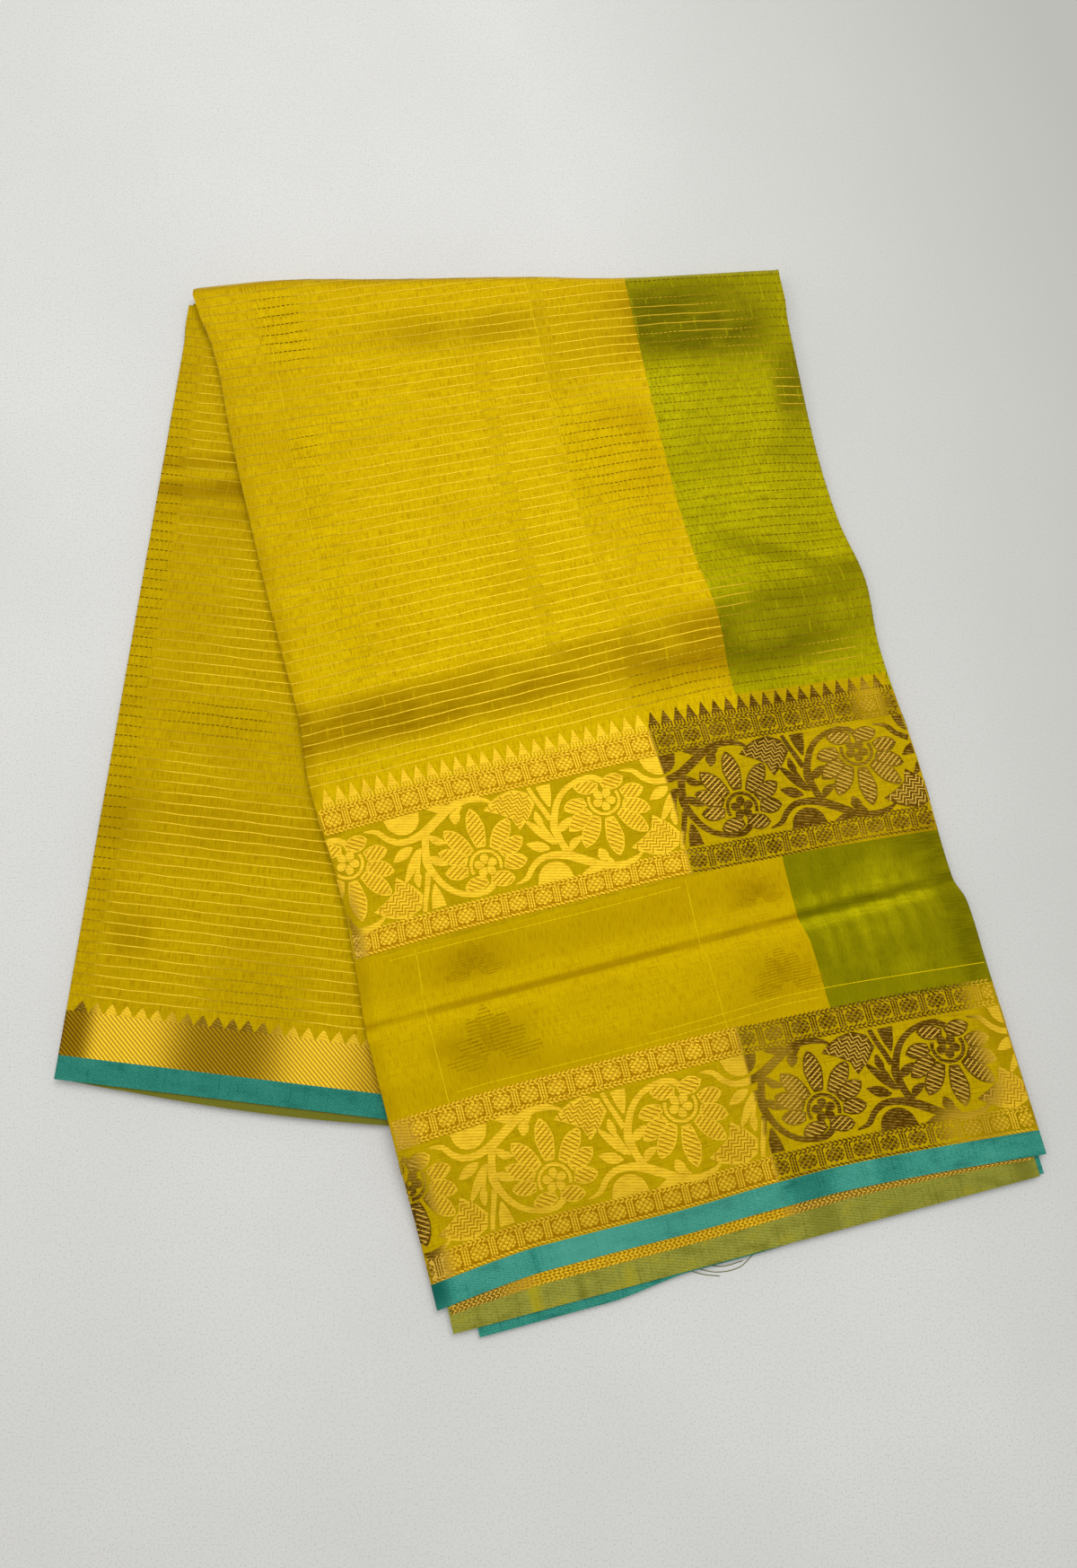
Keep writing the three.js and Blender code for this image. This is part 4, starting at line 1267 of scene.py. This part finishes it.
# How far each border's rows wander: place across the strip, shift at its lower edge, shift at its top
LOWER_ROWS = np.array([
    (0, 0, 0), (40, 0.3, 0.3), (85, 0.6, 0.6), (190, 0.3, 0.3), (212, 0, -1.6), (240, 0, -2.2),
    (300, 0, -1.2), (345, 0, -1),
])
UPPER_ROWS = np.array([
    (0, 1.4, 1.6), (60, 2.7, 2.7), (120, 2.2, 1.2), (190, 1.8, 0.2), (212, 0, -0.8), (240, -0.8, -1.5),
    (270, 0, -2), (300, 1, -1.4), (345, 1, -1.4),
])
BORDERS = [
    {"name": "lower", "base": SELVEDGE, "rows": LOWER_ROWS, "first_flower": 79.5, "flower_pitch": 76.5,
     "chain_pitch": 15.5, "chain_phases": (-1.0, 0.4), "temples": False},
    {"name": "upper", "base": PLAIN_BAND_TOP, "rows": UPPER_ROWS, "first_flower": 84.3, "flower_pitch": 75.6,
     "chain_pitch": 15.15, "chain_phases": (6.4, 8.4), "temples": True},
]


def rosette(figure, x, y):
    """An oval lattice of small diamonds, cut off by its rim."""
    size = ROSETTE_CELL * CELL_SHARES["gold" if x < ZARI_CHANGE else "brown"]
    for i in range(-ROSETTE_REACH, ROSETTE_REACH + 1):
        for j in range(-ROSETTE_REACH, ROSETTE_REACH + 1):
            middle = np.array([i - j, i + j]) * ROSETTE_CELL * math.sqrt(0.5)
            if math.hypot(*(middle / ROSETTE_RIM)) > 1:
                continue
            corners = middle + size * np.array([(-1, 0), (0, -1), (0, 1), (1, 0)])
            outside = np.maximum(1, np.hypot(*(corners / ROSETTE_RIM).T))
            corners = corners / outside[:, None] + (x, y)
            figure.strip(corners[:2], corners[2:])


def upright(figure, x, low, high, width):
    """An upright bar of short faces."""
    y = spread(low, high, FILL_LENGTH)
    figure.strip(pairs(x - width / 2, y), pairs(x + width / 2, y))


def chain(figure, level, pitch, phase):
    """Rosettes with upright bars between them."""
    reach = CHAIN_BAR["high"] / 2
    for x in np.arange(phase - pitch, STRIP_WIDTH + pitch, pitch):
        rosette(figure, x, level)
        for shift in BAR_SHIFTS:
            upright(figure, x + pitch / 2 + shift, level - reach, level + reach, CHAIN_BAR["wide"])


def rope(figure, level, rows):
    """Rows of slanted marks, one slant against the other."""
    turn = math.radians(ROPE_MARK["slant"])
    for row, slant in enumerate(rows):
        middle = level + (row - (len(rows) - 1) / 2) * ROPE_STEP
        for x in np.arange(0, STRIP_WIDTH, ROPE_PITCH):
            figure.bar(x, middle, ROPE_MARK["long"], ROPE_MARK["high"], slant * turn)


def plate(figure, low, high):
    """A closed band of thread under the gold part's chains and ropes."""
    figure.level = PLATE_LEVEL
    figure.stroke = 1.0
    figure.sheet(spread(-EDGE_REACH + 0.02, ZARI_CHANGE, PLATE_STEP), spread(low, high, PLATE_STEP))
    figure.stroke = 0.0


def temples(figure, places, level, tiers, top):
    """Stepped points: each tier's foot above the level, its width there and its width at its top."""
    tops = [tier[0] for tier in tiers[1:]] + [top]
    for x in places:
        for (low, wide, narrow), high in zip(tiers, tops):
            figure.strip([(x - wide / 2, level + low), (x + wide / 2, level + low)],
                         [(x - narrow / 2, level + high), (x + narrow / 2, level + high)])


def border_figure(border):
    """The whole figure of a border, with every other flower upside down."""
    figure = Figure()
    for low, high in PLATES:
        plate(figure, low, high)
    for number in FLOWER_NUMBERS:
        flip = 1 if number % 2 == 0 else -1
        x = border["first_flower"] + number * border["flower_pitch"]
        figure.move_to(x, FLOWER_LEVELS[flip], flip=flip)
        flower_unit(figure)
    figure.move_to(0, 0)
    figure.level = MARK_LEVEL
    for level, phase in zip(CHAIN_LEVELS, border["chain_phases"]):
        chain(figure, level, border["chain_pitch"], phase)
    for row in ROPES:
        rope(figure, row["level"], row["rows"])
    if border["temples"]:
        numbers = np.arange(TEMPLE_PLACES["number"][-1] + 1)
        places = np.interp(numbers, TEMPLE_PLACES["number"], TEMPLE_PLACES["x"])
        temples(figure, places, TEMPLE_BASE, TEMPLE_TIERS, TEMPLE_TOP)
        for x in places:
            for shift in TEMPLE_LEGS:
                upright(figure, x + shift, TEMPLE_BASE, TEMPLE_BASE + LEG["high"], LEG["wide"])
    figure.settle(border["base"], border["rows"])
    return figure


WHOLE_STRIP = (-9, STRIP_WIDTH + 9)
JAGS = ((1.3, 1.7), (0.8, 4.1))


def figure_piece(name, half, figure, slot, shine, material=figure_zari, lift=FIGURE_LIFT,
                 middle=TOP_MIDDLE, across=WHOLE_STRIP, folded=True):
    """A piece of the figure's faces that lie in a stretch across the strip, with jagged ends."""
    points = np.array(figure.points)
    faces = np.array(figure.faces)
    corners = points[faces]
    centre = corners.mean(1)
    jag = sum(most * np.sin(centre[:, 1] * wave) for most, wave in JAGS)
    keep = (centre[:, 0] + jag >= across[0]) & (centre[:, 0] + jag < across[1])
    keep &= corners[:, :, 0].min(1) > -EDGE_REACH
    keep &= corners[:, :, 0].max(1) < STRIP_WIDTH + EDGE_REACH
    corners, faces = corners[keep], faces[keep]
    side = corners[:, 2] - corners[:, 0]
    down = corners[:, 3] - corners[:, 1]
    face_down = side[:, 0] * down[:, 1] - side[:, 1] * down[:, 0] < 0
    faces[face_down] = faces[face_down][:, ::-1]
    used, faces = np.unique(faces, return_inverse=True)
    points = points[used]
    rise = np.array(figure.levels)[used] * LEVEL_STEP
    stroke = np.array(figure.strokes)[used]
    u, turn = split_edge(points[:, 0]) if folded else (points[:, 0], 0 * points[:, 0])
    y = points[:, 1] + half.drop(u, points[:, 1])
    placed = surface(half, u, turn, y, middle, WALL / 2 + lift + rise)
    add_piece(name, placed, faces.reshape(-1, 4), points, slot, material,
              shine=shine(points[:, 0], points[:, 1]), stroke=stroke)


# Where the front's metal thread is darker or brighter than its side of the change: painted sheen and painted
# shade
FRONT_SHINE_PLACES = [
    (2, 45, 11, 50, 0, -1.0), (0, 200, 8, 26, 0, -0.8), (345, 58, 18, 60, 0, 0.9), (300, 190, 20, 8, 0, 0.1),
    (315, 20, 24, 14, 0, 0.6), (334, 268, 14, 12, 0, 0.5), (212, 70, 13, 34, 0, 0.25),
    (341, 232, 6, 60, 0, -0.5), (312, 236, 26, 26, 0, 0.12),
]
SHINE_EDGE = 1.0


def left_of_change(x, change):
    """1 left of a woven change and 0 right of it."""
    return np.clip((change - x) / SHINE_EDGE + 0.5, 0, 1)


def front_shine(x, y):
    return np.clip(left_of_change(x, ZARI_CHANGE) + soft_places(FRONT_SHINE_PLACES, x, y), 0, 1)


def full_shine(x, y):
    return 1 + 0 * x


for border in BORDERS:
    figure = border_figure(border)
    name = f"front_{border['name']}_figure_"
    figure_piece(name + "bright", front, figure, "bright_zari", front_shine,
                 across=(WHOLE_STRIP[0], ZARI_CHANGE))
    figure_piece(name + "dark", front, figure, "dark_zari", front_shine,
                 across=(ZARI_CHANGE, WHOLE_STRIP[1]))

# The ground behind the temple points stays yellow over the start of the green field
TEMPLE_GROUND = {"low": UPPER_BORDER_TOP - 1, "high": 284, "lift": 0.07}
temple_ground = Figure()
temple_ground.sheet(spread(COLOUR_CHANGE, STRIP_WIDTH + EDGE_REACH - 0.05, PLATE_STEP),
                    spread(TEMPLE_GROUND["low"], TEMPLE_GROUND["high"], PLATE_STEP))
figure_piece("front_temple_ground", front, temple_ground, "green_silk", front_shine, brown_ground,
             TEMPLE_GROUND["lift"])

# The small temple points of the back border
BACK_TEMPLE_PITCH = 8.6
BACK_TIERS = [(0, 8.0, 5.2), (2.0, 5.8, 3.2), (3.9, 3.4, 0.4)]
BACK_TEMPLE_TOP = 5.8
back_temples = Figure()
back_temple_places = np.arange(0, STRIP_WIDTH + BACK_TEMPLE_PITCH, BACK_TEMPLE_PITCH)
temples(back_temples, back_temple_places, BACK_BORDER_TOP, BACK_TIERS, BACK_TEMPLE_TOP)
figure_piece("back_temple_points", back, back_temples, "bright_zari", back_shine)

# The woven rope of the second layer, just below the front hem
HEM_ROPE = {"low": -6.4, "high": -0.1, "levels": (-4.8, -1.6)}
HEM_ROPE_SPAN = (SECOND_HEM["left"] + 1, STRIP_WIDTH - SECOND_HEM["right"] - 1)
ROPE_SLIPS = {"from": 120, "to": 330, "by": 3.2}
SECOND_GLEAM = {"from": 30, "rise": 30, "to": 205, "fall": 10, "left": 0.1, "right": 0.15}


def rope_slip(x):
    return ROPE_SLIPS["by"] * ease_between(x, ROPE_SLIPS["from"], ROPE_SLIPS["to"])


def second_shine(x, y):
    rising = (x - SECOND_GLEAM["from"]) / SECOND_GLEAM["rise"]
    falling = (SECOND_GLEAM["to"] - x) / SECOND_GLEAM["fall"]
    return np.clip(rising, SECOND_GLEAM["left"], 1) * np.clip(falling, SECOND_GLEAM["right"], 1)


second_rope = Figure(PLATE_LEVEL, stroke=1.0)
second_rope.sheet(spread(*HEM_ROPE_SPAN, PLATE_STEP), spread(HEM_ROPE["low"], HEM_ROPE["high"], PLATE_STEP))
second_rope.stroke = 0.0
second_rope.level = 1
for level in HEM_ROPE["levels"]:
    rope(second_rope, level, (1, -1))
second_rope.points = [(x, y + rope_slip(x)) for x, y in second_rope.points]
figure_piece("second_hem_rope", front, second_rope, "bright_zari", second_shine,
             middle=TOP_MIDDLE - LAYER_STEP, across=HEM_ROPE_SPAN, folded=False)


# Fine zari lines of the fields

LINE_PITCH = 6.0
LINE_WIDTH = 0.6
DASH = 0.95
UNBROKEN_SHINE = 0.42
LINE_SHINE = {"front": 0.92, "green": 0.05, "back": 0.95}
WOBBLES = ((0.18, 9, 1), (0.12, 3.7, 2))
FIRST_FRONT_LINE = 290.0
LAST_FRONT_LINE = 634.0
FIRST_BACK_LINE = BACK_BORDER_TOP + 9
LINES_TURN = {"from": 290.0, "to": 575.0, "rise": 19.6}
FRONT_LINES_END = FOLD_RADIUS * 2.9
BACK_LINES_END = -6

# Where the lines' painted sheen dims or gleams: x, y, half width, half height, tilt, amount
FRONT_LINE_PLACES = [
    (30, 450, 36, 200, 0, -0.25), (44, 573, 14, 26, -0.1, -0.9), (100, 545, 60, 9, -0.2, -0.3),
    (225, 440, 32, 44, -0.3, -1.0), (230, 300, 40, 16, 0, -1.0), (250, 340, 46, 12, 0, -0.4),
    (226, 380, 20, 20, 0, -0.5), (70, 500, 40, 18, 0, -0.35), (130, 425, 30, 14, 0, -0.3),
]
GREEN_LINE_PLACES = [
    (280, 522, 40, 14, -0.2, 0.5), (318, 484, 22, 16, -0.3, 0.35), (336, 462, 9, 12, 0, 0.6),
    (262, 345, 16, 14, 0, 0.5), (318, 300, 20, 12, 0, 0.4),
]

# Stretches where their painted sheen dims at once: from and to across the strip, from and to along it, amount
LINE_STEPS = [
    (34, 50, 340, 500, -0.3), (150, 160, 330, 520, -0.4), (193, 202, 290, 640, -0.3), (0, 20, 380, 640, -0.2),
]


def front_line_shine(x, y):
    bright = LINE_SHINE["front"] + soft_places(FRONT_LINE_PLACES, x, y)
    for start, stop, low, high, amount in LINE_STEPS:
        bright = bright + amount * ((x > start) & (x < stop) & (y > low) & (y < high))
    bright = np.clip(bright, 0, 1)
    dark = np.clip(LINE_SHINE["green"] + soft_places(GREEN_LINE_PLACES, x, y), 0, 1)
    side = left_of_change(x, COLOUR_CHANGE)
    return side * bright + (1 - side) * dark


BACK_LINE_PLACES = [
    (4, 250, 10, 260, 0, -1.0), (105, 55, 30, 26, 0.1, -0.8), (60, 215, 30, 12, 0, -0.9),
    (20, 180, 14, 60, 0, -0.5), (110, 180, 40, 14, 0, -0.5), (90, 205, 60, 16, 0, -0.5),
    (30, 290, 26, 40, 0, -0.5), (50, 350, 60, 16, 0, -0.6),
]


def back_line_shine(x, y):
    return np.clip(LINE_SHINE["back"] + soft_places(BACK_LINE_PLACES, x, y), 0, 1)


def line_grid(lines, rise, shine):
    """Lines across a field: short faces, with every third one left out where the thread is dark."""
    figure = Figure()
    x = np.concatenate([np.linspace(-EDGE_REACH + 0.01, OUTER_TURN, 5)[:-1],
                        spread(OUTER_TURN, STRIP_WIDTH - OUTER_TURN, DASH),
                        np.linspace(STRIP_WIDTH - OUTER_TURN, STRIP_WIDTH + EDGE_REACH - 0.01, 5)[1:]])
    for number, line in enumerate(lines):
        turn = rise * ease_between(line, LINES_TURN["from"], LINES_TURN["to"])
        y = line + turn * (1 - 2 * x / STRIP_WIDTH)
        wobble = sum(most * np.sin(x / wave + step * number) for most, wave, step in WOBBLES)
        unbroken = shine(x[:-1], y[:-1]) > UNBROKEN_SHINE
        kept = unbroken | ((np.arange(len(x) - 1) + number) % 3 > 0)
        low = y + wobble - LINE_WIDTH / 2
        high = y + wobble + LINE_WIDTH / 2
        figure.strip(pairs(x, low), pairs(x, high), kept)
    return figure


def drop_faces_past_fold(half, figure, most):
    """Leave out the faces that lie more than a distance past the start of the top fold."""
    points = np.array(figure.points)
    u, _ = split_edge(points[:, 0])
    y = points[:, 1] + half.drop(u, points[:, 1])
    far = y > half.reach_fold(u, FOLD_RADIUS) + most
    figure.faces = [face for face in figure.faces if not far[list(face)].any()]


def field_lines(name, half, lines, rise, shine, end):
    """The piece of a field's zari lines, up to an end near the top fold."""
    figure = line_grid(lines, rise, shine)
    drop_faces_past_fold(half, figure, end)
    figure_piece(name, half, figure, "bright_zari", shine, line_zari, LINE_LIFT)


field_lines("front_zari_lines", front, np.arange(FIRST_FRONT_LINE, LAST_FRONT_LINE, LINE_PITCH),
            LINES_TURN["rise"], front_line_shine, FRONT_LINES_END)
field_lines("back_zari_lines", back, np.arange(FIRST_BACK_LINE, BACK_EDGE, LINE_PITCH), 0, back_line_shine,
            BACK_LINES_END)


# Warp and weft threads that catch the light: place, from and to

WARP_THREADS = [(35, 101, 186), (193, 101, 186), (35, 348, 600), (193, 348, 604), (120, 348, 420)]
WEFT_THREADS = [(104.5, 40, 248), (109, 150, 343), (183, 20, 190)]
THREAD = {"width": 0.42, "step": 3.0, "lift": 0.06}
WARP_SWAY = {"most": 0.4, "wave": 23}
WEFT_SWAY = {"most": 0.5, "wave": 31}

light_threads = Figure()
for x, low, high in WARP_THREADS:
    y = spread(low, high, THREAD["step"])
    sway = x + WARP_SWAY["most"] * np.sin(y / WARP_SWAY["wave"])
    light_threads.strip(pairs(sway - THREAD["width"] / 2, y), pairs(sway + THREAD["width"] / 2, y))
for y, low, high in WEFT_THREADS:
    x = spread(low, high, THREAD["step"])
    sway = y + WEFT_SWAY["most"] * np.sin(x / WEFT_SWAY["wave"])
    light_threads.strip(pairs(x, sway - THREAD["width"] / 2), pairs(x, sway + THREAD["width"] / 2))
figure_piece("front_light_threads", front, light_threads, "yellow_silk", full_shine, light_thread,
             THREAD["lift"])


# Faint motifs of the plain band, where the figure of the layer below shows through: middle and size
SHADOW_MOTIFS = [(66, 116, 1.25), (66, 164, 0.8), (233, 113, 1.0), (233, 164, 0.7)]

# Each petal's bearing in degrees, reach and width
SHADOW_PETALS = [(8, 22, 7), (38, 20, 8), (68, 22, 9), (90, 25, 9), (112, 22, 9), (142, 20, 8), (172, 22, 7)]
SHADOW_START = 4
SHADOW_STROKES = {"turn": 0.03, "pitch": 1.7, "share": 0.32}
SHADOW_LIFT = 0.05

shadow_motifs = Figure()
for x, y, scale in SHADOW_MOTIFS:
    shadow_motifs.move_to(x, y, scale)
    for bearing, reach, width in SHADOW_PETALS:
        out = np.array([math.cos(math.radians(bearing)), math.sin(math.radians(bearing))])
        shadow_motifs.hatch(petal_outline(SHADOW_START * out, reach * out, width), **SHADOW_STROKES)
figure_piece("front_shadow_motifs", front, shadow_motifs, "yellow_silk", full_shine, shadow_thread,
             SHADOW_LIFT)


# Loose threads below the hem, lying on the table: paths in millimetres of the frame

LOOSE_THREADS = [
    [(71, -271), (79, -277.5), (91, -280.5), (104, -278), (113, -270)],
    [(75, -270), (83, -275.4), (94, -277.6), (106, -274.6)],
    [(67, -273), (74, -278.5), (83, -281.5), (93, -282.6)],
]
THREAD_RADIUS = 0.22
THREAD_SIDES = 6
THREAD_RAISED = 1.2
THREAD_TONE = -0.9


def loose_threads():
    """The piece of the loose threads, each a thin round bar."""
    points, faces, count = [], [], 0
    turns = np.arange(THREAD_SIDES) * 2 * math.pi / THREAD_SIDES
    for path in LOOSE_THREADS:
        path = smooth_path(path, 1.5)
        ring = path[:, None] + left_of(path)[:, None] * np.cos(turns)[None, :, None] * THREAD_RADIUS
        height = THREAD_RADIUS * (THREAD_RAISED + np.sin(turns)) + 0 * path[:, :1]
        faces += loop_faces(len(path), THREAD_SIDES, count)
        points.append(np.concatenate([ring, height[..., None]], -1).reshape(-1, 3) * MM)
        count += len(path) * THREAD_SIDES
    points = np.concatenate(points)
    add_piece("loose_threads", points, faces, points[:, :2] / MM, "inner_layers", olive_twill,
              tone=np.full(len(points), THREAD_TONE))


loose_threads()


# Floor, light and camera

FLOOR_REACH = 3.0
FLOOR_PALE = (colour(217, 217, 214), colour(231, 231, 228))
FLOOR_THREAD = colour(200, 200, 197)
# Painted shade: the cloth darkens far to the right, where less light reaches it
FLOOR_PAINTED_SHADE = {"colour": colour(188, 188, 183), "direction": (0.95, 0.3, 0), "from": 0.12, "to": 0.45}


def stage_floor():
    """A pale cloth on the table, with painted shade that makes it a little darker far to the right."""
    shader = Shader("pale_cloth_table", roughness=0.9)
    shader.tree.nodes.remove(shader.weave.node)
    place = shader.node("ShaderNodeTexCoord").outputs["Object"]
    threads = shader.noise_at(place, 900.0, 2.0)
    drift = shader.noise_at(place, 7.0, 3.0)
    pale = shader.mix(drift, *FLOOR_PALE)
    pale = shader.stain(pale, FLOOR_THREAD, threads, 0.5, 0.8)
    inputs = [(0, place), (1, FLOOR_PAINTED_SHADE["direction"])]
    far = shader.node("ShaderNodeVectorMath", inputs, operation="DOT_PRODUCT").outputs["Value"]
    pale = shader.stain(pale, FLOOR_PAINTED_SHADE["colour"], far, FLOOR_PAINTED_SHADE["from"], FLOOR_PAINTED_SHADE["to"])
    corners = [(-1, -1), (1, -1), (1, 1), (-1, 1)]
    mesh = bpy.data.meshes.new("table")
    mesh.from_pydata([(FLOOR_REACH * x, FLOOR_REACH * y, 0) for x, y in corners], [], [(0, 1, 2, 3)])
    mesh.materials.append(shader.finish(pale, drift, 0.3, 6.0))
    add_object("table", mesh)


def area_light(name, place, size, power):
    """A square lamp that shines at the middle of the frame."""
    light = bpy.data.lights.new(name, "AREA")
    light.shape = "SQUARE"
    light.size = size
    light.energy = power
    lamp = add_object(name, light)
    lamp.location = place
    x, y, z = place
    lamp.rotation_euler = (math.atan2(math.hypot(x, y), z), 0, math.atan2(-x, y) + math.pi)


stage_floor()
area_light("soft_key", (0.3, 0.6, 1.5), 0.9, 12)
area_light("soft_fill", (-0.6, 0.1, 1.6), 1.4, 8)
world = bpy.data.worlds.new("studio")
world.use_nodes = True
background = world.node_tree.nodes["Background"]
background.inputs["Color"].default_value = (1.0, 0.99, 0.97, 1)
background.inputs["Strength"].default_value = 0.4
bpy.context.scene.world = world
bpy.context.scene.view_settings.view_transform = "Standard"

# The photograph's camera: 9 degrees off straight down, its picture's long side the film's width
CAMERA_TILT = math.radians(9)
CAMERA_DISTANCE = 0.690
AIM = (-0.0064, -0.0089)
LENS = 27.04

camera_data = bpy.data.cameras.new("camera")
camera_data.lens = LENS
camera_data.sensor_width = 36
camera = add_object("camera", camera_data)
camera.location = (AIM[0], AIM[1] - CAMERA_DISTANCE * math.sin(CAMERA_TILT),
                   CAMERA_DISTANCE * math.cos(CAMERA_TILT))
camera.rotation_euler = (CAMERA_TILT, 0, 0)
bpy.context.scene.camera = camera
